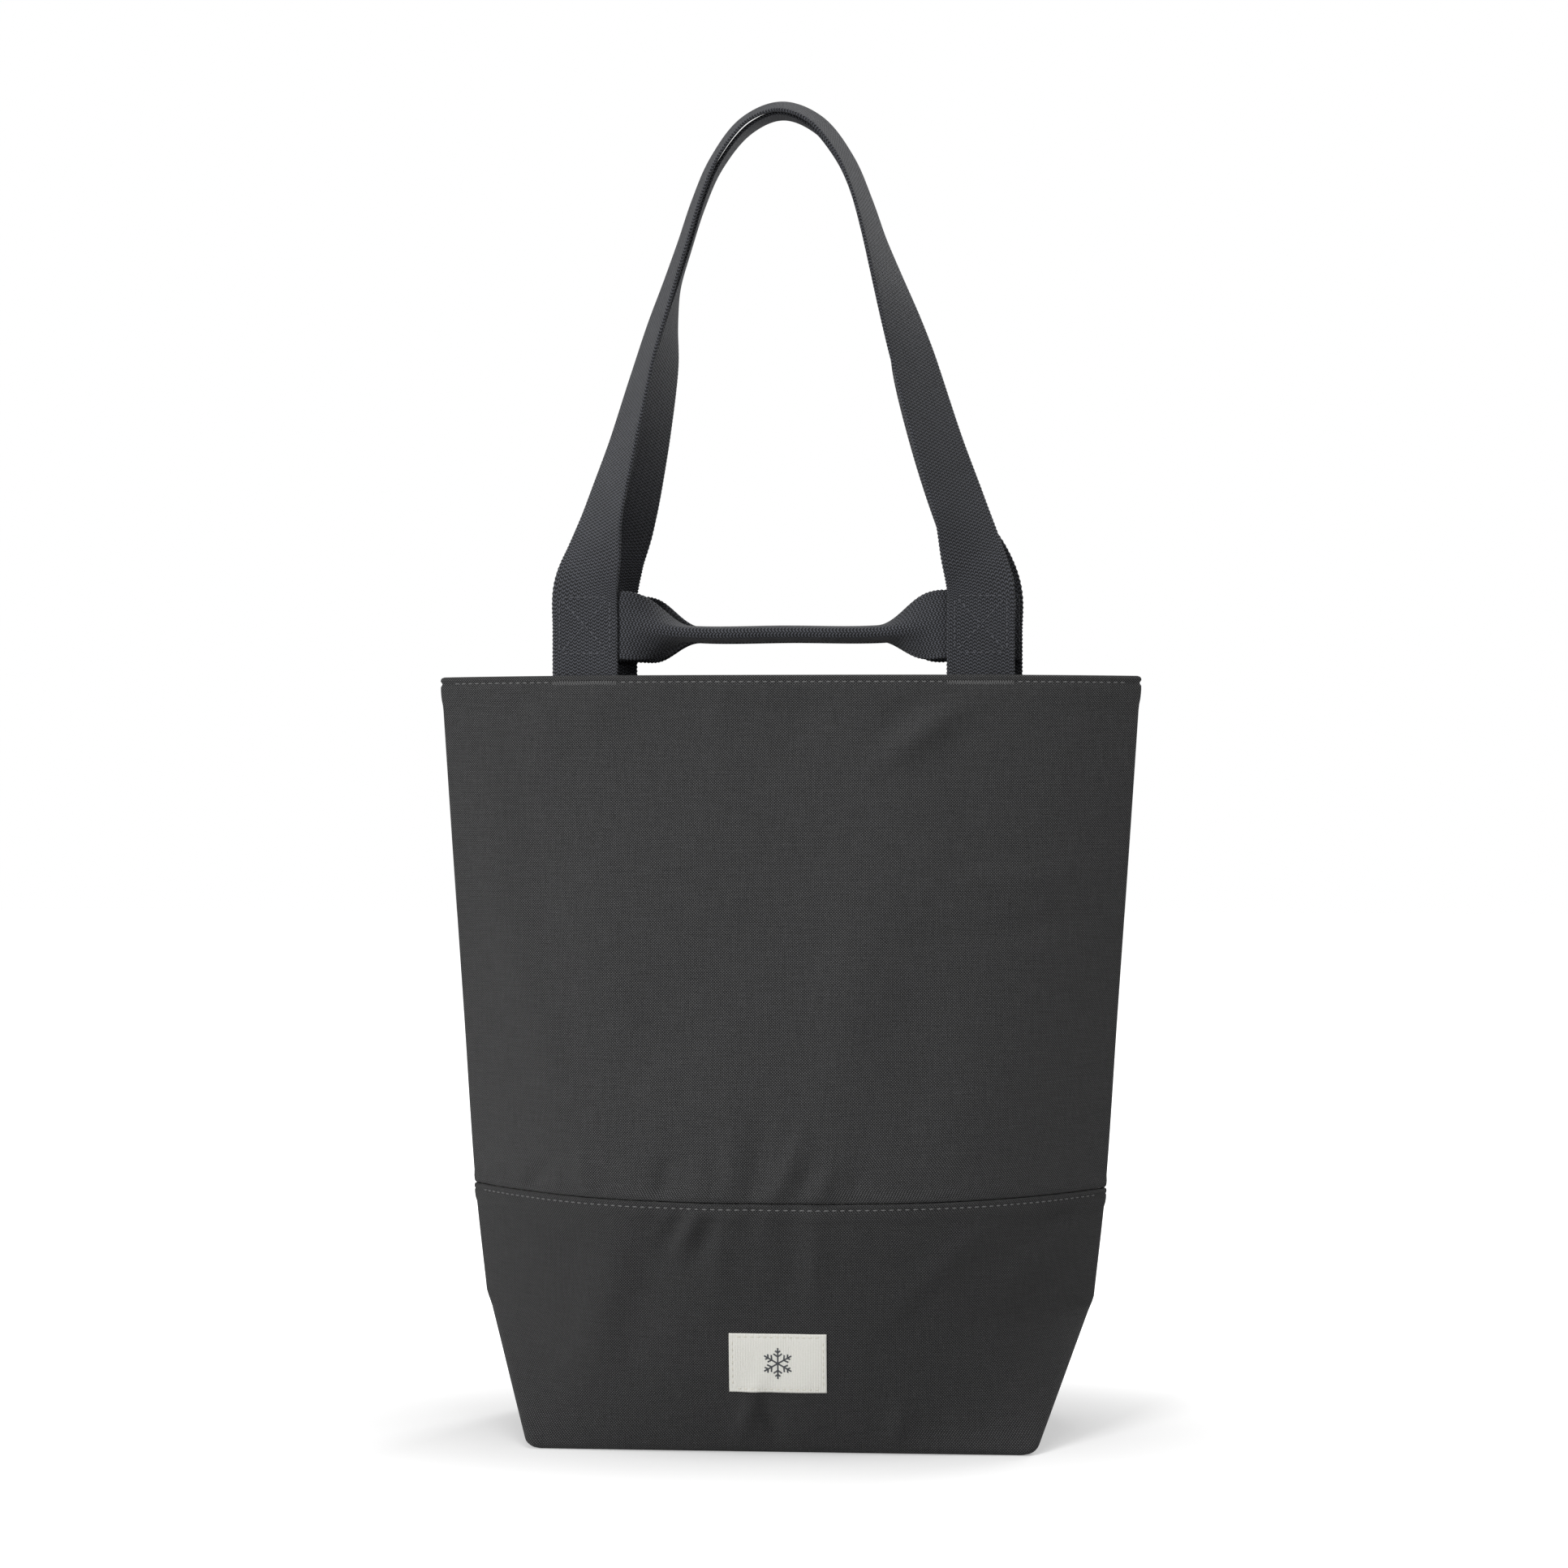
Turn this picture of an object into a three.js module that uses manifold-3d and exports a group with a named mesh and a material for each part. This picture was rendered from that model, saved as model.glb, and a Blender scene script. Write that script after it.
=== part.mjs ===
// Insulated cooler tote: a padded two-tone-panel bag with a boxed bottom, two
// shoulder straps of webbing, two short hand handles and a zipped top gusset.
// Units are millimetres. X is across the bag, the front faces -Y, Z is up, and
// the origin is the middle of the underside of the base.

import * as THREE from 'three';
import { mergeVertices } from 'three/addons/utils/BufferGeometryUtils.js';
import Module from 'manifold-3d';

const wasm = await Module();
wasm.setup();

// ---------------------------------------------------------------- sizes

// the bag's outline
const BAG_HEIGHT = 356;
const BASE_HALF_WIDTH = 116.2;
const BASE_HALF_DEPTH = 60;
const CORNER_HEIGHT = 63; // top of the folded triangle at each end of the boxed bottom
const SEAM_HEIGHT = 115; // seam between the lower and upper outer panels
const SIDE_RIDGE = 1.2; // half thickness of the wall where the front and back meet

// height, half width, half depth: the front swells above the base and closes to the rim
const OUTLINE = [
  [0, BASE_HALF_WIDTH, BASE_HALF_DEPTH],
  [CORNER_HEIGHT, 144.2, 71.5],
  [SEAM_HEIGHT, 149.8, 71],
  [200, 155.6, 57],
  [280, 161.2, 42],
  [BAG_HEIGHT, 166.3, 27.5],
];

// how full the plan section is: 2 is a parabola, more is flatter in the middle
const FULLNESS_AT_BASE = 2.5;
const FULLNESS_AT_RIM = 3;

// wall layers, as depths in from the outer face
const GAP = 0.3;
const OUTER_CLOTH = { from: 0, to: 1 };
const FOAM = { from: 1.6, to: 5.5 };
const LINING = { from: 6.2, to: 6.9 };
const HALF_SEAM_GAP = 0.15; // front and back panels each stop this far from the middle
const FOAM_TOP = 341;
const LINING_TOP = 338;

// base layers, as heights above the ground
const BASE_CLOTH = { bottom: 0, top: 1 };
const BASE_BOARD = { bottom: 1.3, top: 3.3 };
const BASE_FOAM = { bottom: 3.6, top: 8.1 };
const BASE_LINING = { bottom: 8.4, top: 9.2 };
const LOWER_HEM = 0.6; // the outer panels' lower edge is clear of the ground

// rim facing: the band inside the rim that the zip gusset is sewn to
const FACING_THICKNESS = 1;
const FACING_BOTTOM = 326;
const FACING_TOP = 355.6;
const FACING_DEPTH_LOW = 7.5; // over the lining
const FACING_DEPTH_HIGH = 4.1; // behind the webbing tails
const FACING_BEND = [LINING_TOP, 350];

// webbing
const WEB_WIDTH = 32;
const WEB_THICKNESS = 1.8;
const TAIL_BOTTOM = 344;
const TAIL_TOP = 355.6;
const LEG_SPACING = 92.8; // middle of the bag to the middle of each strap leg
const LEG_INSET = 2.7; // middle of the webbing in from the outer face, at the rim
const LEG_TURN = 9; // degrees that a strap leg turns to follow the curved rim
const STRAP_START = 359;
const TWIST_START = 396;
const STRAP_APEX = 625.6;
const STRAP_LEAN = -3.9; // how far the top of the loops leans sideways

// half spacing, height, then the turn of the webbing in degrees: of the front strap's left
// and right legs and of the back strap, from the rim to near the top
const STRAP_ROUTE = [
  [LEG_SPACING, STRAP_START, LEG_TURN, LEG_TURN, LEG_TURN],
  [LEG_SPACING, 378, LEG_TURN, LEG_TURN, LEG_TURN],
  [LEG_SPACING, TWIST_START, LEG_TURN, LEG_TURN, LEG_TURN],
  [88.8, 413, 30, 24, 29],
  [84.8, 430, 48, 38, 50],
  [74.3, 465, 60, 45, 60],
  [62.7, 507, 69, 51, 74],
  [57.2, 525, 75, 57, 81],
  [51.4, 543, 80, 65, 89],
  [45, 563, 84, 74, 95],
  [38.7, 583, 84, 79, 96],
  [30.5, 602, 84, 82, 96],
  [16.5, 619.5, 79, 79, 96],
];
const LEFT_TURN = 2;
const RIGHT_TURN = 3;
const BACK_TURN = 4;

// the back strap nests inside the front one where they meet at the top
const FRONT_STRAP = {
  side: -1, shift: -1.6, tuck: 0, drop: 0, apexY: -4, apexTurn: 72, turns: [LEFT_TURN, RIGHT_TURN],
};
const BACK_STRAP = {
  side: 1, shift: 2.2, tuck: 6.4, drop: 2.5, apexY: 5, apexTurn: 97, turns: [BACK_TURN, BACK_TURN],
};
const TUCK_LEFT_AT_TOP = 0.28; // share of the tuck that remains above the twist
const STRAP_STEPS = 66;

// short handles: webbing sewn to the mouth side of the strap legs, folded at the grip
const HANDLE_HEIGHT = 379.5;
const GRIP_HEIGHT = 376;
const GRIP_HALF_LENGTH = 44;
const FOLD_START = 76;
const GRIP_OFFSET = 20.5;
const SPINE_HALF = 1.2; // half the height of the folded edge of the grip
const FOLD_ANGLE = 84;
const HANDLE_STEPS = 36;

// label sewn on the lower front panel
const LABEL = { halfWidth: 22.2, bottom: 29.4, top: 56.6, from: -0.8, to: -0.3 };

// bar tacks across the foot of each strap leg
const BAR_TACK = { halfWidth: 15.5, bottom: 350.8, top: 353.2, from: -0.9, to: -0.3 };

// zip: all heights are measured from the middle of the coil
const ZIP_HEIGHT = 346;
const FLAP_HALF_LENGTH = 100;
const FLAP_HINGE = 13.5; // hinge line of each flap to the middle of the bag
const FLAP_EDGE = 5.2; // edge of the flap cloth beside the slider
const CLOTH = { bottom: 0.65, top: 1.45 };
const TAPE = { outer: 12, inner: 3.2, bottom: -0.35, top: 0.35 };
const COIL = { outer: 2.9, inner: 0.8, bottom: -1.1, top: 1.1 };
const END_GAP = 0.4; // between the moving flaps and the fixed ends
const STOP_START = 114;
const STOP_END = 118;
const TAPE_END = 132;
const GUSSET_END = 146;
const GUSSET_CLEARANCE = 0.5;

// slider and puller
const SLIDER_PARK = 107; // middle of the closed slider to the middle of the bag
const SLIDER_HALF_LENGTH = 4.5;
const SLIDER_HALF_WIDTH = 4.5;
const SLIDER_LIP = 3.4;
const WEDGE_HALF = 0.45;
const PIVOT_HEIGHT = 3.5; // above the middle of the coil
const PULLER_LENGTH = 22;
const PULLER_HALF_WIDTH = 2.6;

// binding over the raw edges of each inner side seam
const BINDING = { width: 4.5, thickness: 1.2, inset: 2, bottom: 72, top: 322 };

// --------------------------------------------------------------- finishes

const finish = (color, roughness, metalness = 0) => ({ color, roughness, metalness });
const BAG_CLOTH = finish(0x373737, 0.9);
const LOWER_CLOTH = finish(0x343434, 0.9);
const WEBBING = finish(0x36373b, 0.85);
const LINING_FILM = finish(0xb9bcc0, 0.4);
const FOAM_WHITE = finish(0xe6e6e0, 0.9);
const BOARD = finish(0x8d8f90, 0.7);
const FACING_CLOTH = finish(0x2e2e30, 0.9);
const ZIP_NYLON = finish(0x1e1e20, 0.6);
const ZIP_METAL = finish(0x55565a, 0.35, 0.9);
const LABEL_COTTON = finish(0xe1e0d8, 0.9);
const THREAD = finish(0x2b2b2d, 0.8);

// ---------------------------------------------------------------- helpers

const v3 = (x, y, z) => new THREE.Vector3(x, y, z);
const radians = THREE.MathUtils.degToRad;
const lerp = THREE.MathUtils.lerp;
const smooth = THREE.MathUtils.smoothstep;

function steps(from, to, count) {
  return Array.from({ length: count + 1 }, (_, i) => lerp(from, to, i / count));
}

function signedVolume(position, index) {
  const [a, b, c] = [v3(), v3(), v3()];
  let volume = 0;
  for (let i = 0; i < index.length; i += 3) {
    a.fromArray(position, 3 * index[i]);
    b.fromArray(position, 3 * index[i + 1]);
    c.fromArray(position, 3 * index[i + 2]);
    volume += a.dot(b.cross(c)) / 6;
  }
  return volume;
}

function solid(position, index) {
  const outward = signedVolume(position, index) > 0 ? index : index.slice().reverse();
  const geometry = new THREE.BufferGeometry();
  geometry.setAttribute('position', new THREE.Float32BufferAttribute(position, 3));
  geometry.setIndex(outward);
  return geometry;
}

// A sheet with thickness: two grids of points, face and back, joined round the edge.
function thickSheet(face, back) {
  const rows = face.length;
  const columns = face[0].length;
  const position = [...face.flat(), ...back.flat()].flatMap((p) => p.toArray());
  const index = [];
  const at = (layer, i, j) => (layer * rows + i) * columns + j;
  const quad = (a, b, c, d) => index.push(a, b, c, a, c, d);
  for (let i = 0; i + 1 < rows; i += 1) {
    for (let j = 0; j + 1 < columns; j += 1) {
      quad(at(0, i, j), at(0, i, j + 1), at(0, i + 1, j + 1), at(0, i + 1, j));
      quad(at(1, i, j), at(1, i + 1, j), at(1, i + 1, j + 1), at(1, i, j + 1));
    }
    const last = columns - 1;
    quad(at(0, i, 0), at(0, i + 1, 0), at(1, i + 1, 0), at(1, i, 0));
    quad(at(0, i, last), at(1, i, last), at(1, i + 1, last), at(0, i + 1, last));
  }
  for (let j = 0; j + 1 < columns; j += 1) {
    const last = rows - 1;
    quad(at(0, 0, j), at(1, 0, j), at(1, 0, j + 1), at(0, 0, j + 1));
    quad(at(0, last, j), at(0, last, j + 1), at(1, last, j + 1), at(1, last, j));
  }
  return solid(position, index);
}

// A flat plate between two heights from an outline of [x, y] points.
function plate(outline, bottom, top) {
  const shape = new THREE.Shape(outline.map(([x, y]) => new THREE.Vector2(x, y)));
  const geometry = new THREE.ExtrudeGeometry(shape, { depth: top - bottom, bevelEnabled: false });
  return geometry.translate(0, 0, bottom);
}

function mirrorY(outline) {
  return outline.map(([x, y]) => [x, -y]).reverse();
}

function toManifold(geometry) {
  const bare = geometry.clone();
  bare.deleteAttribute('normal');
  bare.deleteAttribute('uv');
  const merged = mergeVertices(bare, 1e-4);
  return new wasm.Manifold(new wasm.Mesh({
    numProp: 3,
    vertProperties: new Float32Array(merged.attributes.position.array),
    triVerts: new Uint32Array(merged.index.array),
  }));
}

function joined(...geometries) {
  const [first, ...rest] = geometries.map(toManifold);
  const mesh = rest.reduce((sum, next) => sum.add(next), first).getMesh();
  return solid(Array.from(mesh.vertProperties), Array.from(mesh.triVerts));
}

const bag = new THREE.Group();

function add(name, geometry, look) {
  const mesh = new THREE.Mesh(geometry, new THREE.MeshStandardMaterial(look));
  mesh.name = name;
  bag.add(mesh);
  return mesh;
}

// ---------------------------------------------------------- the bag's form

// Smooth curve through column k of OUTLINE, straight below the corner triangles' tops.
function outlineAt(height, k) {
  const last = OUTLINE.length - 1;
  const slope = (i) => {
    const [low, high] = [OUTLINE[Math.max(i - 1, 1)], OUTLINE[Math.min(i + 1, last)]];
    return (high[k] - low[k]) / (high[0] - low[0]);
  };
  if (height <= CORNER_HEIGHT) {
    const share = height / CORNER_HEIGHT;
    const swell = k === 2 ? 2.5 * Math.sin(Math.PI * share) : 0;
    return lerp(OUTLINE[0][k], OUTLINE[1][k], share) + swell;
  }
  let i = 1;
  while (i < last - 1 && height > OUTLINE[i + 1][0]) i += 1;
  const [from, to] = [OUTLINE[i], OUTLINE[i + 1]];
  const span = to[0] - from[0];
  const t = (height - from[0]) / span;
  const rise = t * t * (3 - 2 * t);
  const leave = t * (1 - t) * (1 - t) * span * slope(i);
  const arrive = t * t * (t - 1) * span * slope(i + 1);
  return lerp(from[k], to[k], rise) + leave + arrive;
}

function section(height, inset) {
  const depth = outlineAt(height, 2);
  const width = outlineAt(height, 1);
  const corner = BASE_HALF_DEPTH * (1 - height / CORNER_HEIGHT);
  const slant = 0.8 * Math.hypot(2 * depth, width) / (2 * depth);
  const sideways = inset * lerp(1.15, slant, Math.min(height / CORNER_HEIGHT, 1));
  return {
    halfWidth: width - sideways,
    halfDepth: depth - inset,
    ridge: Math.max(corner, SIDE_RIDGE) * (1 - inset / BASE_HALF_DEPTH),
    fullness: lerp(FULLNESS_AT_BASE, FULLNESS_AT_RIM, height / BAG_HEIGHT),
  };
}

// Half depth of the bag at a distance x from the middle, a given height and inset.
function depthAt(x, height, inset) {
  const { halfWidth, halfDepth, ridge, fullness } = section(height, inset);
  const swell = 1 - Math.min(Math.abs(x / halfWidth), 1) ** fullness;
  return ridge + (halfDepth - ridge) * swell;
}

// One row of a wall, from the left side seam round the face to the right one.
function wallRow(side, height, inset, columns) {
  const { halfWidth } = section(height, inset);
  const points = steps(-1, 1, columns).map((u) => {
    const x = u * halfWidth;
    return v3(x, side * depthAt(x, height, inset), height);
  });
  const seam = side * HALF_SEAM_GAP;
  return [v3(-halfWidth, seam, height), ...points, v3(halfWidth, seam, height)];
}

function wall(side, heights, layer, columns) {
  const row = (inset) => (height) => wallRow(side, height, inset, columns);
  return thickSheet(heights.map(row(layer.from)), heights.map(row(layer.to)));
}

// A small piece lying on the wall between two distances from the middle.
function patch(side, [left, right], [bottom, top], layer, columns, rows = 4) {
  const grid = (inset) => steps(bottom, top, rows).map((height) => (
    steps(left, right, columns).map((x) => v3(x, side * depthAt(x, height, inset), height))
  ));
  return thickSheet(grid(layer.from), grid(layer.to));
}

const FRONT = -1;
const BACK = 1;
const SIDES = [['front', FRONT], ['back', BACK]];
const ENDS = [['left', -1], ['right', 1]];

// ------------------------------------------------------ outer cloth panels

// the layers share their rows of points round the boxed bottom, so they stay nested
const cornerRows = [BASE_LINING.bottom, ...steps(0, CORNER_HEIGHT, 4).slice(1)];
const above = (top, count) => steps(CORNER_HEIGHT, top, count).slice(1);
const lowerRows = [LOWER_HEM, ...cornerRows, ...above(SEAM_HEIGHT - GAP, 3)];
const upperRows = steps(SEAM_HEIGHT + GAP, BAG_HEIGHT, 9);
const lowerFoamRows = [BASE_BOARD.bottom, ...cornerRows, ...above(SEAM_HEIGHT - GAP, 3)];
const upperFoamRows = steps(SEAM_HEIGHT + GAP, FOAM_TOP, 7);
const liningRows = [...cornerRows, ...above(LINING_TOP, 8)];
const WALL_COLUMNS = 20;

for (const [name, side] of SIDES) {
  add(`outer_${name}_upper`, wall(side, upperRows, OUTER_CLOTH, WALL_COLUMNS), BAG_CLOTH);
  add(`outer_${name}_lower`, wall(side, lowerRows, OUTER_CLOTH, WALL_COLUMNS), LOWER_CLOTH);
  add(`foam_${name}_upper`, wall(side, upperFoamRows, FOAM, WALL_COLUMNS), FOAM_WHITE);
  add(`foam_${name}_lower`, wall(side, lowerFoamRows, FOAM, WALL_COLUMNS), FOAM_WHITE);
  add(`lining_${name}`, wall(side, liningRows, LINING, WALL_COLUMNS), LINING_FILM);
}

// ------------------------------------------------------------------- base

// A base layer fits inside the walls at its bottom and at its top.
function baseOutline(bottom, top, inset) {
  const { halfWidth } = section(bottom, inset);
  const edge = steps(halfWidth, -halfWidth, 12).map((x) => (
    [x, Math.min(depthAt(x, bottom, inset), depthAt(x, top, inset))]
  ));
  return [...edge, ...mirrorY(edge)];
}

const baseLayers = [
  ['outer_base', BASE_CLOTH, OUTER_CLOTH.to, LOWER_CLOTH],
  ['base_board', BASE_BOARD, FOAM.to, BOARD],
  ['foam_base', BASE_FOAM, FOAM.to, FOAM_WHITE],
  ['lining_base', BASE_LINING, LINING.to, LINING_FILM],
];
for (const [name, { bottom, top }, inset, look] of baseLayers) {
  add(name, plate(baseOutline(bottom, top, inset + 2 * GAP), bottom, top), look);
}

// ------------------------------------------------- rim facing and bindings

function facing(side) {
  const heights = [FACING_BOTTOM, ...FACING_BEND, FACING_TOP];
  const rows = (extra) => heights.map((height) => {
    const rise = (height - FACING_BEND[0]) / (FACING_BEND[1] - FACING_BEND[0]);
    const inset = lerp(FACING_DEPTH_LOW, FACING_DEPTH_HIGH, THREE.MathUtils.clamp(rise, 0, 1));
    return wallRow(side, height, inset + extra, WALL_COLUMNS);
  });
  return thickSheet(rows(0), rows(FACING_THICKNESS));
}

function binding(end) {
  const heights = steps(BINDING.bottom, BINDING.top, 8);
  const edge = (y) => heights.map((height) => {
    const outer = section(height, LINING.to).halfWidth - BINDING.inset;
    return [v3(end * outer, y, height), v3(end * (outer - BINDING.width), y, height)];
  });
  return thickSheet(edge(-BINDING.thickness / 2), edge(BINDING.thickness / 2));
}

for (const [name, side] of SIDES) add(`rim_facing_${name}`, facing(side), FACING_CLOTH);
for (const [name, end] of ENDS) add(`seam_binding_${name}`, binding(end), FACING_CLOTH);

// --------------------------------------------- shoulder straps and handles

// Webbing along a line of frames: each has its middle, its width and its face direction.
function webbing(frames) {
  const grid = (out) => frames.map(({ middle, across, face }) => (
    [-0.5, 0.5].map((share) => middle.clone()
      .addScaledVector(across, share * WEB_WIDTH)
      .addScaledVector(face, out * WEB_THICKNESS / 2))
  ));
  return thickSheet(grid(1), grid(-1));
}

// Direction across a strap leg at the rim, pointing to the middle of the bag.
function legAcross(side, end) {
  const turn = radians(LEG_TURN);
  return v3(-end * Math.cos(turn), side * Math.sin(turn), 0);
}

// Middle of a strap leg: it follows the wall up to the rim and stands straight above it.
function legMiddle(strap, end, height) {
  const x = end * LEG_SPACING + strap.shift;
  const depth = depthAt(x, Math.min(height, BAG_HEIGHT), LEG_INSET);
  return v3(x, strap.side * depth, height);
}

function strapTail(strap, end) {
  const across = legAcross(strap.side, end);
  const face = across.clone().cross(v3(0, 0, 1));
  return webbing([TAIL_BOTTOM, TAIL_TOP].map((height) => (
    { middle: legMiddle(strap, end, height), across, face }
  )));
}

function strapPoint(strap, end, [spacing, height]) {
  const rise = smooth(height, TWIST_START, STRAP_APEX);
  const loosened = lerp(1, TUCK_LEFT_AT_TOP, smooth(height, 525, 566));
  const tuck = strap.tuck * smooth(height, 406, 438) * loosened;
  const drop = strap.drop * smooth(height, 560, STRAP_APEX);
  const lean = lerp(strap.shift, STRAP_LEAN, smooth(height, TWIST_START, 520));
  const y = lerp(legMiddle(strap, end, height).y, strap.apexY, rise);
  return v3(end * (spacing - tuck) + lean, y, height - drop);
}

function strapWebbing(strap) {
  const apex = v3(STRAP_LEAN, strap.apexY, STRAP_APEX - strap.drop);
  const up = STRAP_ROUTE.map((stop) => strapPoint(strap, -1, stop));
  const down = STRAP_ROUTE.map((stop) => strapPoint(strap, 1, stop)).reverse();
  const curve = new THREE.CatmullRomCurve3([...up, apex, ...down], false, 'centripetal');
  const [leftTurns, rightTurns] = strap.turns.map((k) => STRAP_ROUTE.map((stop) => stop[k]));
  const allTurns = [...leftTurns, strap.apexTurn, ...rightTurns.reverse()];
  const last = allTurns.length - 1;
  const frames = steps(0, 1, STRAP_STEPS).map((t) => {
    const stop = Math.min(Math.floor(t * last), last - 1);
    const turn = radians(lerp(allTurns[stop], allTurns[stop + 1], t * last - stop));
    const along = curve.getTangent(t);
    const outward = v3(0, 1, 0).cross(along).negate().normalize();
    const sideways = v3(0, strap.side, 0).addScaledVector(along, -strap.side * along.y).normalize();
    const face = sideways.multiplyScalar(Math.cos(turn)).addScaledVector(outward, Math.sin(turn));
    return { middle: curve.getPoint(t), across: along.cross(face).normalize(), face };
  });
  return webbing(frames);
}

// The handle's section folds from flat to a narrow U that opens to the middle of the bag.
function handleSection(centre, along, side, fold) {
  const inward = v3(0, 0, 1).cross(along).multiplyScalar(side).normalize();
  const leaf = WEB_WIDTH / 2 - SPINE_HALF;
  const half = WEB_THICKNESS / 2;
  const at = (depth, height) => centre.clone().addScaledVector(inward, depth)
    .add(v3(0, 0, height));
  const chain = (out) => [1, -1].flatMap((up) => {
    const bend = Math.tan(fold / 2) * out * half;
    const spine = at(-out * half, up * (SPINE_HALF + bend));
    const tip = at(
      leaf * Math.sin(fold) - out * half * Math.cos(fold),
      up * (SPINE_HALF + leaf * Math.cos(fold) + out * half * Math.sin(fold)),
    );
    return up > 0 ? [tip, spine] : [spine, tip];
  });
  return { face: chain(1), back: chain(-1) };
}

function shortHandle(strap) {
  const step = WEB_THICKNESS + GAP;
  const sewn = (end) => {
    const across = legAcross(strap.side, end);
    const behind = v3(0, 0, 1).cross(across).multiplyScalar(strap.side * end * step);
    return [-0.47, 0, 0.47, 0.6].map((share) => legMiddle(strap, end, HANDLE_HEIGHT)
      .addScaledVector(across, share * WEB_WIDTH).add(behind));
  };
  const grip = [-1, 0, 1].map((end) => (
    v3(end * GRIP_HALF_LENGTH + strap.shift, strap.side * GRIP_OFFSET, GRIP_HEIGHT)
  ));
  const route = [...sewn(-1), ...grip, ...sewn(1).reverse()];
  const curve = new THREE.CatmullRomCurve3(route, false, 'centripetal');
  const sections = steps(0, 1, HANDLE_STEPS).map((t) => {
    const centre = curve.getPoint(t);
    const along = curve.getTangent(t).setZ(0).normalize();
    const reach = Math.abs(centre.x - strap.shift);
    const fold = radians(FOLD_ANGLE) * smooth(FOLD_START - reach, 0, FOLD_START - GRIP_HALF_LENGTH);
    return handleSection(centre, along, -strap.side, fold);
  });
  return thickSheet(sections.map((s) => s.face), sections.map((s) => s.back));
}

for (const [name, strap] of [['front', FRONT_STRAP], ['back', BACK_STRAP]]) {
  add(`shoulder_strap_${name}`, strapWebbing(strap), WEBBING);
  add(`short_handle_${name}`, shortHandle(strap), WEBBING);
  for (const [endName, end] of ENDS) {
    const middle = end * LEG_SPACING + strap.shift;
    const reach = [middle - BAR_TACK.halfWidth, middle + BAR_TACK.halfWidth];
    add(`strap_tail_${name}_${endName}`, strapTail(strap, end), WEBBING);
    add(
      `bar_tack_${name}_${endName}`,
      patch(strap.side, reach, [BAR_TACK.bottom, BAR_TACK.top], BAR_TACK, 4, 1),
      THREAD,
    );
  }
}

add(
  'label',
  patch(FRONT, [-LABEL.halfWidth, LABEL.halfWidth], [LABEL.bottom, LABEL.top], LABEL, 8),
  LABEL_COTTON,
);

// -------------------------------------------------------------------- zip

const atZip = ({ bottom, top }) => [ZIP_HEIGHT + bottom, ZIP_HEIGHT + top];
const strip = (near, far) => [
  [-FLAP_HALF_LENGTH, near],
  [FLAP_HALF_LENGTH, near],
  [FLAP_HALF_LENGTH, far],
  [-FLAP_HALF_LENGTH, far],
];

// Fixed part of the gusset: a crescent between the facing and the flap, closed at its ends.
function gussetOutline() {
  const inset = FACING_DEPTH_HIGH + FACING_THICKNESS + 1.6;
  const start = FLAP_HALF_LENGTH + END_GAP;
  const edge = steps(-GUSSET_END, GUSSET_END, 28).map((x) => (
    [x, depthAt(x, ZIP_HEIGHT, inset) - GUSSET_CLEARANCE]
  ));
  const inner = [
    [GUSSET_END, FLAP_EDGE / 4],
    [TAPE_END, FLAP_EDGE / 4],
    [STOP_END, FLAP_EDGE],
    [start, FLAP_EDGE],
    [start, FLAP_HINGE + GAP],
  ];
  const mirrored = inner.map(([x, y]) => [-x, y]).reverse();
  return [...edge, ...inner, ...mirrored];
}

function tapeEndOutline(end) {
  const start = FLAP_HALF_LENGTH + END_GAP;
  const slot = COIL.outer + GAP;
  const half = [[start, slot], [start, 8], [TAPE_END, 6]];
  const other = [[TAPE_END, -6], [start, -8], [start, -slot]];
  const outline = [...half, ...other, [STOP_END + GAP, -slot], [STOP_END + GAP, slot]];
  return outline.map(([x, y]) => [end * x, y]);
}

function zipStopOutline(end) {
  const start = FLAP_HALF_LENGTH + END_GAP;
  const outline = [
    [start, COIL.inner],
    [start, COIL.outer],
    [STOP_END, COIL.outer],
    [STOP_END, -COIL.outer],
    [start, -COIL.outer],
    [start, -COIL.inner],
    [STOP_START, -COIL.inner],
    [STOP_START, COIL.inner],
  ];
  return outline.map(([x, y]) => [end * x, y]);
}

for (const [name, side] of SIDES) {
  const turned = (outline) => (side === BACK ? outline : mirrorY(outline));
  const cloth = turned(strip(FLAP_EDGE, FLAP_HINGE));
  add(`zip_flap_${name}`, plate(cloth, ...atZip(CLOTH)), FACING_CLOTH);
  const tape = turned(strip(TAPE.inner, TAPE.outer));
  add(`zip_tape_${name}`, plate(tape, ...atZip(TAPE)), ZIP_NYLON);
  const coil = turned(strip(COIL.inner, COIL.outer));
  add(`zip_coil_${name}`, plate(coil, ...atZip(COIL)), ZIP_NYLON);
  add(`zip_gusset_${name}`, plate(turned(gussetOutline()), ...atZip(CLOTH)), FACING_CLOTH);
}
for (const [name, end] of ENDS) {
  add(`zip_tape_end_${name}`, plate(tapeEndOutline(end), ...atZip(TAPE)), ZIP_NYLON);
  add(`zip_stop_${name}`, plate(zipStopOutline(end), ...atZip(COIL)), ZIP_NYLON);
}

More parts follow.
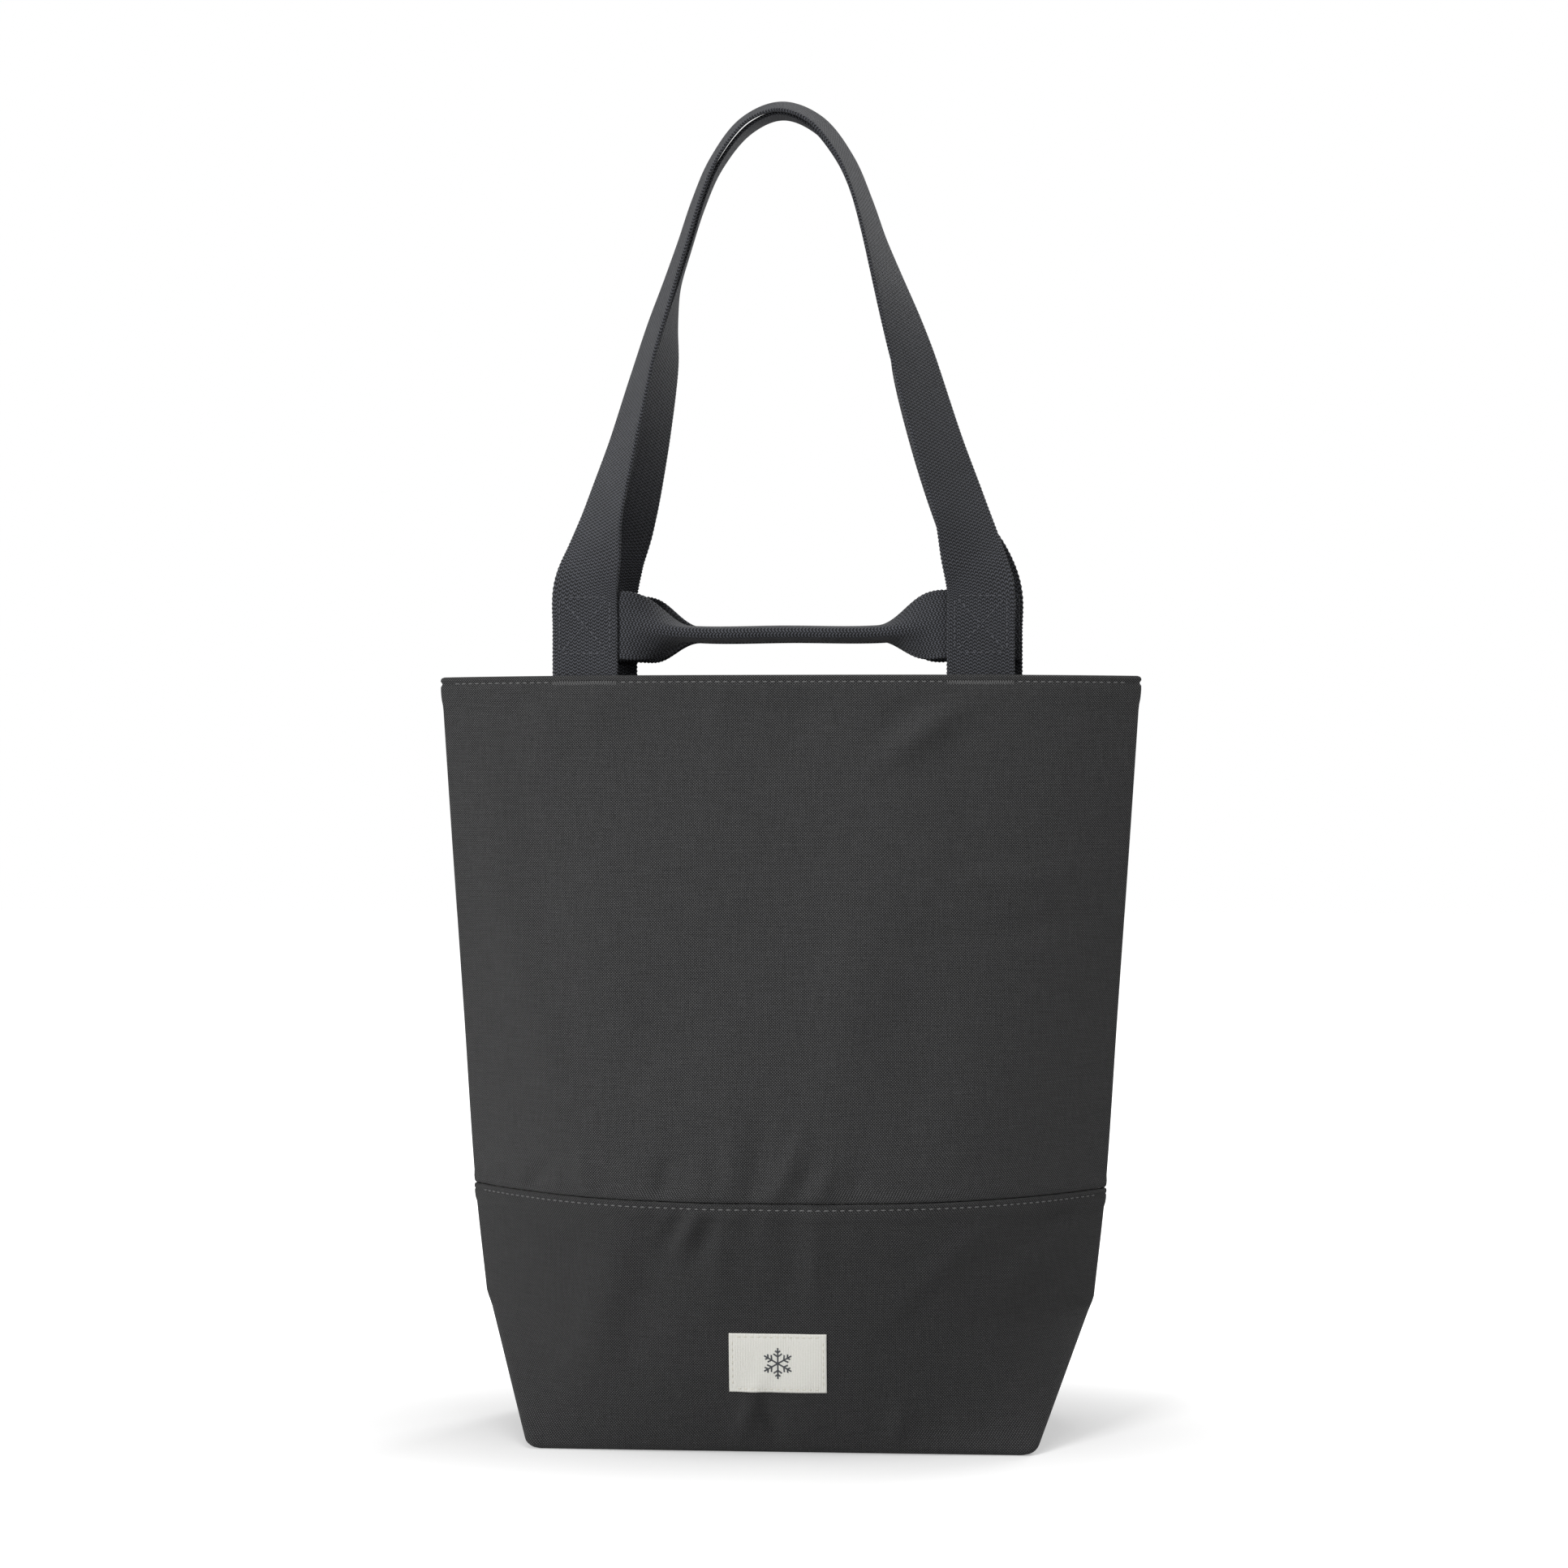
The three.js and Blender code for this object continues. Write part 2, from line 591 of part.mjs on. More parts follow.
// The slider's section: two plates with lips that hold the tapes, joined by the wedge.
function sliderBody() {
  const corner = [
    [WEDGE_HALF, 0],
    [WEDGE_HALF, 1.5],
    [SLIDER_LIP, 1.5],
    [SLIDER_LIP, 0.8],
    [SLIDER_HALF_WIDTH, 0.8],
    [SLIDER_HALF_WIDTH, 2.5],
  ];
  const right = [...corner.map(([y, z]) => [y, -z]).reverse(), ...corner.slice(1)];
  const outline = [...right, ...right.map(([y, z]) => [-y, z]).reverse()];
  const body = plate(outline, -SLIDER_HALF_LENGTH, SLIDER_HALF_LENGTH);
  return body.applyMatrix4(new THREE.Matrix4().set(0, 0, 1, 0, 1, 0, 0, 0, 0, 1, 0, 0, 0, 0, 0, 1));
}

// The bail: a small arch over the puller's crossbar, standing on the upper plate.
function bail() {
  const foot = 2.2;
  const outline = [
    [-2.6, foot],
    [-1.7, foot],
    [-1.7, PIVOT_HEIGHT + 0.8],
    [1.7, PIVOT_HEIGHT + 0.8],
    [1.7, foot],
    [2.6, foot],
    [2.6, PIVOT_HEIGHT + 1.1],
    [1.9, PIVOT_HEIGHT + 1.7],
    [-1.9, PIVOT_HEIGHT + 1.7],
    [-2.6, PIVOT_HEIGHT + 1.1],
  ];
  return plate(outline, -0.7, 0.7).rotateX(Math.PI / 2);
}

function pullerPlate() {
  const shape = new THREE.Shape();
  const end = -PULLER_LENGTH + PULLER_HALF_WIDTH;
  shape.moveTo(0.5, -1.9);
  shape.lineTo(0.5, 1.9);
  shape.lineTo(-4.5, PULLER_HALF_WIDTH);
  shape.lineTo(end, PULLER_HALF_WIDTH);
  shape.absarc(end, 0, PULLER_HALF_WIDTH, Math.PI / 2, 1.5 * Math.PI, false);
  shape.lineTo(-4.5, -PULLER_HALF_WIDTH);
  shape.closePath();
  const eye = new THREE.Path();
  eye.moveTo(-4, -1.2);
  eye.lineTo(-4, 1.2);
  eye.lineTo(-0.5, 1.2);
  eye.lineTo(-0.5, -1.2);
  eye.closePath();
  shape.holes.push(eye);
  const thickness = 1;
  const tab = new THREE.ExtrudeGeometry(shape, {
    depth: thickness, bevelEnabled: false, curveSegments: 8,
  });
  return tab.translate(0, 0, -thickness / 2);
}

const slider = add('zip_slider', joined(sliderBody(), bail()), ZIP_METAL);
slider.position.set(SLIDER_PARK, 0, ZIP_HEIGHT);
const puller = add('zip_puller', pullerPlate(), ZIP_METAL);
puller.position.set(SLIDER_PARK, 0, ZIP_HEIGHT + PIVOT_HEIGHT);

export default bag;
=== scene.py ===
"""Looks of an insulated cooler tote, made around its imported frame.

The frame is in metres with +Z up. X runs across the bag, the front faces -Y, and the origin is the
middle of the underside of the base. The sizes here are millimetres, turned to metres where a mesh is made.
"""

import math

import bpy
import numpy as np
from mathutils import Matrix, Vector, noise
from mathutils.bvhtree import BVHTree


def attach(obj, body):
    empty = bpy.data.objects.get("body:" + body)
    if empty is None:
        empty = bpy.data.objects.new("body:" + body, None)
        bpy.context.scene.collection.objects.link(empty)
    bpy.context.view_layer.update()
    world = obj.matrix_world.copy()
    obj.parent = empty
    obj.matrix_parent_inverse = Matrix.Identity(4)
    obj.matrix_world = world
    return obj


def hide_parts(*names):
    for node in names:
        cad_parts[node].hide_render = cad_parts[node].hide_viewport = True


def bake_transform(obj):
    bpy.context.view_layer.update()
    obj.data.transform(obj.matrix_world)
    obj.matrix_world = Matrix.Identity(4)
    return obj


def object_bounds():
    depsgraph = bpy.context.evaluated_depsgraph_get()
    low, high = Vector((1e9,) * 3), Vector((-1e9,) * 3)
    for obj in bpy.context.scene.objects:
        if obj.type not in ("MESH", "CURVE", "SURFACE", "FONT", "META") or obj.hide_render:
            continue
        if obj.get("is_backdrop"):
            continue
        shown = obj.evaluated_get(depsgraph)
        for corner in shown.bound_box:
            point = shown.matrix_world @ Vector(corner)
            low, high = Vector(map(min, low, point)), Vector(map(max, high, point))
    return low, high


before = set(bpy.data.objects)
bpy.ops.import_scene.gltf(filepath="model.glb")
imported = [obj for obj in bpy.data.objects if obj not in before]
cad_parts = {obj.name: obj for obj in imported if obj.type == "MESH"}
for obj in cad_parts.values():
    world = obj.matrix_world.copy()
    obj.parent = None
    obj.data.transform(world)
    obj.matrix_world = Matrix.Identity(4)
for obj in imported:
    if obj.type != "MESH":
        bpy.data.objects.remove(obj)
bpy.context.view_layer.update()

MM = 0.001
FRONT = -1
BACK = 1
SIDES = {"front": FRONT, "back": BACK}
ENDS = {"left": -1, "right": 1}

# ---------------------------------------------------------------- sizes of the bag

BAG_HEIGHT = 356
BASE_HALF_WIDTH = 116.2
BASE_HALF_DEPTH = 60
CORNER_HEIGHT = 63
SEAM_HEIGHT = 115
SIDE_RIDGE = 1.2
OUTLINE = np.array([
    [0, BASE_HALF_WIDTH, BASE_HALF_DEPTH],
    [CORNER_HEIGHT, 144.2, 71.5],
    [SEAM_HEIGHT, 149.8, 71],
    [200, 155.6, 57],
    [280, 161.2, 42],
    [BAG_HEIGHT, 166.3, 27.5],
])
FULLNESS_AT_BASE = 2.5
FULLNESS_AT_RIM = 3
SEAM_GAP = 0.15  # front and back panels stop this far from the middle of the side seam
BASE_EDGE_ROUND = 4
CORNER_ROUND = 4
CLOTH_THICKNESS = 0.5

# webbing
WEB_WIDTH = 32
WEB_THICKNESS = 1.8
RIB_PITCH = 1.9  # of the scallops along its edges
FLOAT_PITCH = 1.6
TAIL_BOTTOM = 344
LEG_SPACING = 92.8
LEG_INSET = 2.7
LEG_TURN = 9
STRAP_START = 359
TWIST_START = 396
STRAP_APEX = 625.6
STRAP_LEAN = -3.9
# half spacing, height, then the webbing's turn in degrees: left and right legs of the front strap,
# and the back strap
STRAP_ROUTE = [
    [LEG_SPACING, STRAP_START, LEG_TURN, LEG_TURN, LEG_TURN],
    [LEG_SPACING, 378, LEG_TURN, LEG_TURN, LEG_TURN],
    [LEG_SPACING, TWIST_START, LEG_TURN, LEG_TURN, LEG_TURN],
    [88.8, 413, 30, 24, 29],
    [84.8, 430, 48, 38, 50],
    [74.3, 465, 60, 45, 60],
    [62.7, 507, 69, 51, 74],
    [57.2, 525, 70, 57, 86],
    [51.4, 543, 73, 65, 96],
    [45, 563, 75, 73, 97],
    [38.7, 583, 76, 76, 96],
    [30.5, 602, 76, 76, 96],
    [16.5, 619.5, 74, 74, 96],
]
LEFT_TURN = 2
RIGHT_TURN = 3
BACK_TURN = 4
STRAPS = {
    "front": {
        "side": FRONT, "shift": -1.6, "tuck": 0, "drop": 0, "apex_y": -4, "apex_turn": 72,
        "turns": (LEFT_TURN, RIGHT_TURN),
    },
    "back": {
        "side": BACK, "shift": 2.2, "tuck": 6.4, "drop": 2.5, "apex_y": 5, "apex_turn": 97,
        "turns": (BACK_TURN, BACK_TURN),
    },
}
TUCK_LEFT_AT_TOP = 0.25  # share of the tuck that remains above the twist

# short handles
HANDLE_HEIGHT = 379.5
GRIP_HEIGHT = 376
GRIP_HALF_LENGTH = 44
FOLD_START = 76
FOLD_ANGLE = 84
GRIP_OFFSET = 20.5
FOLD_WIDTH = 2.6  # how much webbing each side of the folded edge the fold takes up

# zip
ZIP_HEIGHT = 346
FLAP_HALF_LENGTH = 100
TOOTH_PITCH = 1.3

# ---------------------------------------------------------------- camera and light

CAMERA_DISTANCE = 1500
CAMERA_HEIGHT = 305
CAMERA_AZIMUTH = 4
AIM_OFFSET = -2.1
LENS = 72.6


def make_camera():
    turn = math.radians(CAMERA_AZIMUTH)
    right = Vector((math.cos(turn), math.sin(turn), 0))
    back = Vector((math.sin(turn), -math.cos(turn), 0))
    bpy.ops.object.camera_add()
    camera = bpy.context.object
    camera.location = (right * AIM_OFFSET + back * CAMERA_DISTANCE + Vector((0, 0, CAMERA_HEIGHT))) * MM
    camera.rotation_euler = (math.pi / 2, 0, turn)
    camera.data.lens = LENS
    bpy.context.scene.camera = camera


def area_light(name, place, aim, size, power):
    bpy.ops.object.light_add(type="AREA", location=Vector(place) * MM)
    light = bpy.context.object
    light.name = name
    light.data.size = size * MM
    light.data.energy = power
    direction = (Vector(aim) - Vector(place)).normalized()
    light.rotation_euler = direction.to_track_quat("-Z", "Y").to_euler()


make_camera()
bpy.context.scene.view_settings.view_transform = "Standard"

# ---------------------------------------------------------------- materials


def linear(hex_colour, alpha=1.0):
    """Linear colour of an sRGB hex value such as "36373b"."""
    parts = [int(hex_colour[i:i + 2], 16) / 255 for i in (0, 2, 4)]
    return (*[c / 12.92 if c <= 0.04045 else ((c + 0.055) / 1.055) ** 2.4 for c in parts], alpha)


def add(tree, kind, inputs, **settings):
    """Adds a node: settings are its attributes, inputs are values or the sockets that feed it."""
    node = tree.nodes.new(kind)
    for name, value in settings.items():
        setattr(node, name, value)
    for socket, value in inputs.items():
        if isinstance(value, bpy.types.NodeSocket):
            tree.links.new(value, node.inputs[socket])
        else:
            node.inputs[socket].default_value = value
    return node


def math_node(tree, operation, *values):
    return add(tree, "ShaderNodeMath", dict(enumerate(values)), operation=operation).outputs[0]


def new_material(name, roughness, metallic=0.0, ior=1.5, sheen=0.0):
    """A material with its shader, whose constant values are set on the shader itself."""
    material = bpy.data.materials.new(name)
    material.use_nodes = True
    tree = material.node_tree
    shader = tree.nodes["Principled BSDF"]
    shader.inputs["Roughness"].default_value = roughness
    shader.inputs["Metallic"].default_value = metallic
    shader.inputs["IOR"].default_value = ior
    shader.inputs["Sheen Weight"].default_value = sheen
    shader.inputs["Sheen Roughness"].default_value = 0.5
    return material, tree, shader


def surface_mm(tree, uv_name="surface"):
    """The piece's own surface coordinates, in millimetres across and along."""
    uv = add(tree, "ShaderNodeUVMap", {}, uv_map=uv_name)
    split = add(tree, "ShaderNodeSeparateXYZ", {0: uv.outputs["UV"]})
    return uv.outputs["UV"], split.outputs["X"], split.outputs["Y"]


def bump(tree, shader, height, distance_mm, strength=1.0, under=None):
    inputs = {"Height": height, "Distance": distance_mm * MM, "Strength": strength}
    if under is not None:
        inputs["Normal"] = under
    node = add(tree, "ShaderNodeBump", inputs)
    tree.links.new(node.outputs["Normal"], shader.inputs["Normal"])
    return node.outputs["Normal"]


def ramp(tree, value, stops):
    """Colour by value; stops are (position, hex colour) pairs."""
    node = add(tree, "ShaderNodeValToRGB", {"Fac": value})
    elements = node.color_ramp.elements
    while len(elements) < len(stops):
        elements.new(0.5)
    for element, (position, colour) in zip(elements, stops):
        element.position = position
        element.color = linear(colour)
    return node.outputs["Color"]


def woven_polyester(name, gap_shade, low, high, thread_mm=0.64):
    """600 denier polyester, plain woven from matt yarn: a fine checker of threads, uneven yarns and a soft
    broad mottling;
    the gaps between threads are darkened with painted shade."""
    material, tree, shader = new_material(name, roughness=0.82, ior=1.5, sheen=0.08)
    uv, across, along = surface_mm(tree)
    wobble = add(tree, "ShaderNodeTexNoise", {"Vector": uv, "Scale": 0.12, "Detail": 2.0})
    drift = math_node(tree, "MULTIPLY", wobble.outputs["Fac"], 0.5)
    warp_phase = math_node(tree, "MULTIPLY", math_node(tree, "ADD", across, drift), math.pi / thread_mm)
    weft_phase = math_node(tree, "MULTIPLY", math_node(tree, "ADD", along, drift), math.pi / thread_mm)
    warp = math_node(tree, "SINE", warp_phase)
    weft = math_node(tree, "SINE", weft_phase)
    over = math_node(tree, "MULTIPLY", warp, weft)
    height = math_node(tree, "POWER", math_node(tree, "ABSOLUTE", over), 0.5)
    stretch_warp = add(tree, "ShaderNodeMapping", {"Vector": uv, "Scale": (0.8, 0.07, 1)})
    stretch_weft = add(tree, "ShaderNodeMapping", {"Vector": uv, "Scale": (0.07, 0.8, 1)})
    warp_input = {"Vector": stretch_warp.outputs[0], "Scale": 1.0, "Detail": 1.0}
    weft_input = {"Vector": stretch_weft.outputs[0], "Scale": 1.0, "Detail": 1.0}
    warp_slub = add(tree, "ShaderNodeTexNoise", warp_input)
    weft_slub = add(tree, "ShaderNodeTexNoise", weft_input)
    slub = math_node(tree, "ADD", warp_slub.outputs["Fac"], weft_slub.outputs["Fac"])
    fleck = add(tree, "ShaderNodeTexNoise", {"Vector": uv, "Scale": 0.75, "Detail": 3.0})
    tone = math_node(tree, "MULTIPLY_ADD", over, 0.6, -0.7)
    # The colour follows the weave's height: a painted shade in the gaps between threads.
    tone = math_node(tree, "ADD", tone, math_node(tree, "MULTIPLY", height, 1.1))
    tone = math_node(tree, "ADD", tone, math_node(tree, "MULTIPLY", slub, 0.36))
    tone = math_node(tree, "ADD", tone, math_node(tree, "MULTIPLY", fleck.outputs["Fac"], 0.42))
    colour = ramp(tree, tone, [(0.1, gap_shade), (0.55, low), (1.0, high)])
    tree.links.new(colour, shader.inputs["Base Color"])
    bump(tree, shader, math_node(tree, "ADD", height, math_node(tree, "MULTIPLY", slub, 0.4)), 0.22, 1.0)
    return material


def cotton_webbing(name, gap_shade, low, high):
    """Heavy spun webbing: ribs along its length, each a file of short slanting floats, with a fuzzy surface
    and stray pale fibres;
    the hollows between ribs and floats are darkened with painted shade."""
    material, tree, shader = new_material(name, roughness=0.88, ior=1.5, sheen=0.12)
    uv, across, along = surface_mm(tree)
    rib = 1.9
    column = math_node(tree, "MULTIPLY", across, 1 / rib)
    part = math_node(tree, "FRACT", column)
    whole = math_node(tree, "FLOOR", column)
    slant = math_node(tree, "MULTIPLY", math_node(tree, "PINGPONG", column, 0.5), 1.1)
    step = math_node(tree, "MULTIPLY", whole, 0.5)
    travel = math_node(tree, "MULTIPLY", along, 1 / FLOAT_PITCH)
    phase = math_node(tree, "ADD", math_node(tree, "ADD", travel, slant), step)
    floats = math_node(tree, "SINE", math_node(tree, "MULTIPLY", phase, 2 * math.pi))
    floats = math_node(tree, "MULTIPLY_ADD", floats, 0.5, 0.5)
    round_rib = math_node(tree, "SINE", math_node(tree, "MULTIPLY", part, 2 * math.pi))
    round_rib = math_node(tree, "POWER", math_node(tree, "ABSOLUTE", round_rib), 0.5)
    height = math_node(tree, "MULTIPLY", floats, math_node(tree, "MULTIPLY_ADD", round_rib, 0.7, 0.3))
    fibre_map = add(tree, "ShaderNodeMapping", {"Vector": uv, "Scale": (3.0, 0.8, 1)})
    fibre = add(tree, "ShaderNodeTexNoise", {"Vector": fibre_map.outputs[0], "Scale": 1.0, "Detail": 3.0})
    soft = add(tree, "ShaderNodeTexNoise", {"Vector": uv, "Scale": 0.06, "Detail": 2.0})
    # The colour follows the height of the ribs and floats: a painted shade in their hollows.
    tone = math_node(tree, "MULTIPLY_ADD", height, 1.1, -0.42)
    tone = math_node(tree, "ADD", tone, math_node(tree, "MULTIPLY", fibre.outputs["Fac"], 0.9))
    tone = math_node(tree, "ADD", tone, math_node(tree, "MULTIPLY", soft.outputs["Fac"], 0.25))
    colour = ramp(tree, tone, [(0.15, gap_shade), (0.55, low), (1.0, high)])
    tree.links.new(colour, shader.inputs["Base Color"])
    fuzz = math_node(tree, "MULTIPLY", fibre.outputs["Fac"], 0.5)
    bump(tree, shader, math_node(tree, "ADD", height, fuzz), 0.3, 0.9)
    return material


def insulating_film():
    """Silver-grey PEVA film, calendered with a fine pebble: a soft sheen that breaks into small glints."""
    material, tree, shader = new_material("peva_lining_film", roughness=0.34, ior=1.5)
    place = add(tree, "ShaderNodeTexCoord", {}).outputs["Object"]
    pebble = add(tree, "ShaderNodeTexVoronoi", {"Vector": place, "Scale": 900.0})
    crinkle = add(tree, "ShaderNodeTexNoise", {"Vector": place, "Scale": 60.0, "Detail": 4.0})
    colour = ramp(tree, crinkle.outputs["Fac"], [(0.3, "a9adb2"), (0.7, "c3c6ca")])
    tree.links.new(colour, shader.inputs["Base Color"])
    height = math_node(tree, "ADD", pebble.outputs["Distance"], crinkle.outputs["Fac"])
    bump(tree, shader, height, 0.4, 0.5)
    return material


def foam_sheet():
    """White expanded polyethylene foam, cut from sheet: matt, with fine closed cells."""
    material, tree, shader = new_material("closed_cell_foam", roughness=0.9, ior=1.5)
    place = add(tree, "ShaderNodeTexCoord", {}).outputs["Object"]
    cells = add(tree, "ShaderNodeTexVoronoi", {"Vector": place, "Scale": 700.0})
    colour = ramp(tree, cells.outputs["Distance"], [(0.0, "f0f0ec"), (0.8, "dcdcd6")])
    tree.links.new(colour, shader.inputs["Base Color"])
    bump(tree, shader, cells.outputs["Distance"], 0.3, 0.6)
    return material


def board_sheet():
    """Grey polypropylene board, extruded: a low gloss with faint lines from the die."""
    material, tree, shader = new_material("polypropylene_board", roughness=0.5, ior=1.49)
    place = add(tree, "ShaderNodeTexCoord", {}).outputs["Object"]
    streaks = add(tree, "ShaderNodeMapping", {"Vector": place, "Scale": (8, 900, 8)})
    lines = add(tree, "ShaderNodeTexNoise", {"Vector": streaks.outputs[0], "Scale": 1.0, "Detail": 2.0})
    colour = ramp(tree, lines.outputs["Fac"], [(0.3, "858788"), (0.7, "969899")])
    tree.links.new(colour, shader.inputs["Base Color"])
    bump(tree, shader, lines.outputs["Fac"], 0.05, 0.5)
    return material


def zip_tape():
    """Black polyester zip tape, woven in a narrow herringbone: matt with fine slanting ribs."""
    material, tree, shader = new_material("woven_zip_tape", roughness=0.8, ior=1.5)
    place = add(tree, "ShaderNodeTexCoord", {}).outputs["Object"]
    split = add(tree, "ShaderNodeSeparateXYZ", {0: place})
    zigzag = math_node(tree, "PINGPONG", split.outputs["Y"], 1.2 * MM)
    phase = math_node(tree, "ADD", split.outputs["X"], zigzag)
    ribs = math_node(tree, "SINE", math_node(tree, "MULTIPLY", phase, 2 * math.pi / (0.7 * MM)))
    # The colour darkens in the troughs of the ribs: a painted shade.
    colour = ramp(tree, math_node(tree, "MULTIPLY_ADD", ribs, 0.5, 0.5), [(0.0, "141416"), (1.0, "26262a")])
    tree.links.new(colour, shader.inputs["Base Color"])
    bump(tree, shader, ribs, 0.08, 0.6)
    return material


def zip_monofilament():
    """Black nylon monofilament, wound into a coil: smooth and slightly glossy."""
    material, tree, shader = new_material("nylon_coil", roughness=0.38, ior=1.53)
    place = add(tree, "ShaderNodeTexCoord", {}).outputs["Object"]
    scuff = add(tree, "ShaderNodeTexNoise", {"Vector": place, "Scale": 400.0, "Detail": 2.0})
    colour = ramp(tree, scuff.outputs["Fac"], [(0.3, "17171a"), (0.75, "2a2a2e")])
    tree.links.new(colour, shader.inputs["Base Color"])
    bump(tree, shader, scuff.outputs["Fac"], 0.03, 0.4)
    return material


def plated_zinc():
    """Die-cast zinc with a gunmetal plating, tumbled: dark metal with fine scratches."""
    material, tree, shader = new_material("gunmetal_plated_zinc", roughness=0.32, metallic=1.0)
    place = add(tree, "ShaderNodeTexCoord", {}).outputs["Object"]
    wear = add(tree, "ShaderNodeTexNoise", {"Vector": place, "Scale": 350.0, "Detail": 5.0})
    rough = add(tree, "ShaderNodeMapRange", {"Value": wear.outputs["Fac"], "To Min": 0.24, "To Max": 0.42})
    tree.links.new(rough.outputs[0], shader.inputs["Roughness"])
    colour = ramp(tree, wear.outputs["Fac"], [(0.3, "5a5b60"), (0.8, "7b7c82")])
    tree.links.new(colour, shader.inputs["Base Color"])
    bump(tree, shader, wear.outputs["Fac"], 0.03, 0.5)
    return material


def label_cloth():
    """Undyed cotton tape in a fine rib: off-white, matt, with ribs running up the label."""
    material, tree, shader = new_material("ribbed_cotton", roughness=0.92, ior=1.5, sheen=0.05)
    uv, across, along = surface_mm(tree)
    rib = math_node(tree, "SINE", math_node(tree, "MULTIPLY", across, 2 * math.pi / 0.75))
    pick = math_node(tree, "SINE", math_node(tree, "MULTIPLY", along, 2 * math.pi / 0.5))
    grain = add(tree, "ShaderNodeTexNoise", {"Vector": uv, "Scale": 1.6, "Detail": 3.0})
    # The colour darkens in the troughs of the ribs: a painted shade.
    tone = math_node(tree, "MULTIPLY_ADD", rib, 0.22, 0.3)
    tone = math_node(tree, "ADD", tone, math_node(tree, "MULTIPLY", grain.outputs["Fac"], 0.5))
    colour = ramp(tree, tone, [(0.2, "e0dfd6"), (0.6, "f2f1ea"), (0.95, "fafaf5")])
    tree.links.new(colour, shader.inputs["Base Color"])
    height = math_node(tree, "ADD", rib, math_node(tree, "MULTIPLY", pick, 0.4))
    bump(tree, shader, height, 0.08, 0.7)
    return material


def sewing_thread(name, dark, light):
    """Spun polyester sewing thread, twisted: matt with fine slanting plies."""
    material, tree, shader = new_material(name, roughness=0.7, ior=1.5, sheen=0.1)
    place = add(tree, "ShaderNodeTexCoord", {}).outputs["Object"]
    turned = add(tree, "ShaderNodeMapping", {"Vector": place, "Rotation": (0.6, 0.6, 0.6)})
    plies = add(tree, "ShaderNodeTexWave", {"Vector": turned.outputs[0], "Scale": 700.0, "Distortion": 1.0})
    # The colour darkens in the grooves between the plies: a painted shade.
    colour = ramp(tree, plies.outputs["Fac"], [(0.1, dark), (0.8, light)])
    tree.links.new(colour, shader.inputs["Base Color"])
    bump(tree, shader, plies.outputs["Fac"], 0.05, 0.6)
    return material


def floor_paint():
    """Matt pale studio floor, lifted for the camera to white away from the bag: the shade near the base
    is partly this falloff."""
    material, tree, shader = new_material("matt_white_floor", roughness=0.9)
    place = add(tree, "ShaderNodeTexCoord", {}).outputs["Object"]
    grain = add(tree, "ShaderNodeTexNoise", {"Vector": place, "Scale": 2.0})
    colour = ramp(tree, grain.outputs["Fac"], [(0.0, "c7c7c7"), (1.0, "cacaca")])
    tree.links.new(colour, shader.inputs["Base Color"])
    squeezed = add(tree, "ShaderNodeMapping", {"Vector": place, "Scale": (0.5, 1, 1)}).outputs[0]
    distance = add(tree, "ShaderNodeVectorMath", {0: squeezed}, operation="LENGTH").outputs["Value"]
    lift = add(tree, "ShaderNodeMapRange", {
        "Value": distance, "From Min": 0.06, "From Max": 0.24, "To Min": FLOOR_LIFT, "To Max": 1.0,
    }, interpolation_type="SMOOTHSTEP").outputs[0]
    seen = add(tree, "ShaderNodeLightPath", {}).outputs["Is Camera Ray"]
    shader.inputs["Emission Color"].default_value = (1, 1, 1, 1)
    tree.links.new(math_node(tree, "MULTIPLY", lift, seen), shader.inputs["Emission Strength"])
    return material


# The floor's glow next to the bag, for camera rays only: it rises to full white away from the bag, so the
# shade at the base is partly painted shade.
FLOOR_LIFT = 0.38

BAG_CLOTH = woven_polyester("charcoal_woven_polyester", "060607", "252526", "5c5c5d")
# The lower panels and the base take a darker copy of the bag cloth: a painted shade for the light falling off
# towards the base.
LOWER_CLOTH_PAINTED_SHADE = woven_polyester("charcoal_woven_polyester_lower_painted_shade", "050506", "1e1e1f", "4e4e4f")
FACING_CLOTH = woven_polyester("charcoal_facing_polyester", "0a0a0b", "1f1f20", "3a3a3c")
WEBBING = cotton_webbing("charcoal_webbing", "050608", "1b1c20", "54565d")
LINING_FILM = insulating_film()
FOAM = foam_sheet()
BOARD = board_sheet()
ZIP_TAPE = zip_tape()
ZIP_COIL = zip_monofilament()
ZIP_METAL = plated_zinc()
LABEL_CLOTH = label_cloth()
SEAM_THREAD = sewing_thread("grey_polyester_thread", "4a4a4b", "7a7a7a")
STRAP_THREAD = sewing_thread("charcoal_polyester_thread", "36373b", "64656b")
LABEL_THREAD = sewing_thread("natural_thread", "cfccbf", "ebe8dd")
MOTIF_THREAD = sewing_thread("slate_embroidery_thread", "33363a", "54585d")

# ---------------------------------------------------------------- mesh helpers


def deselect():
    if bpy.context.object and bpy.context.object.mode != "OBJECT":
        bpy.ops.object.mode_set(mode="OBJECT")
    bpy.ops.object.select_all(action="DESELECT")


def active(piece):
    deselect()
    piece.select_set(True)
    bpy.context.view_layer.objects.active = piece


def edit(piece, *steps):
    """Runs mesh operators on a piece in edit mode, everything selected."""
    active(piece)
    bpy.ops.object.mode_set(mode="EDIT")
    bpy.ops.mesh.select_all(action="SELECT")
    for step in steps:
        step()
    bpy.ops.object.mode_set(mode="OBJECT")


def apply_modifiers(piece):
    active(piece)
    for modifier in list(piece.modifiers):
        bpy.ops.object.modifier_apply(modifier=modifier.name)


def dress(piece, material, smooth=True):
    piece.data.materials.clear()
    piece.data.materials.append(material)
    piece.data.polygons.foreach_set("use_smooth", [smooth] * len(piece.data.polygons))


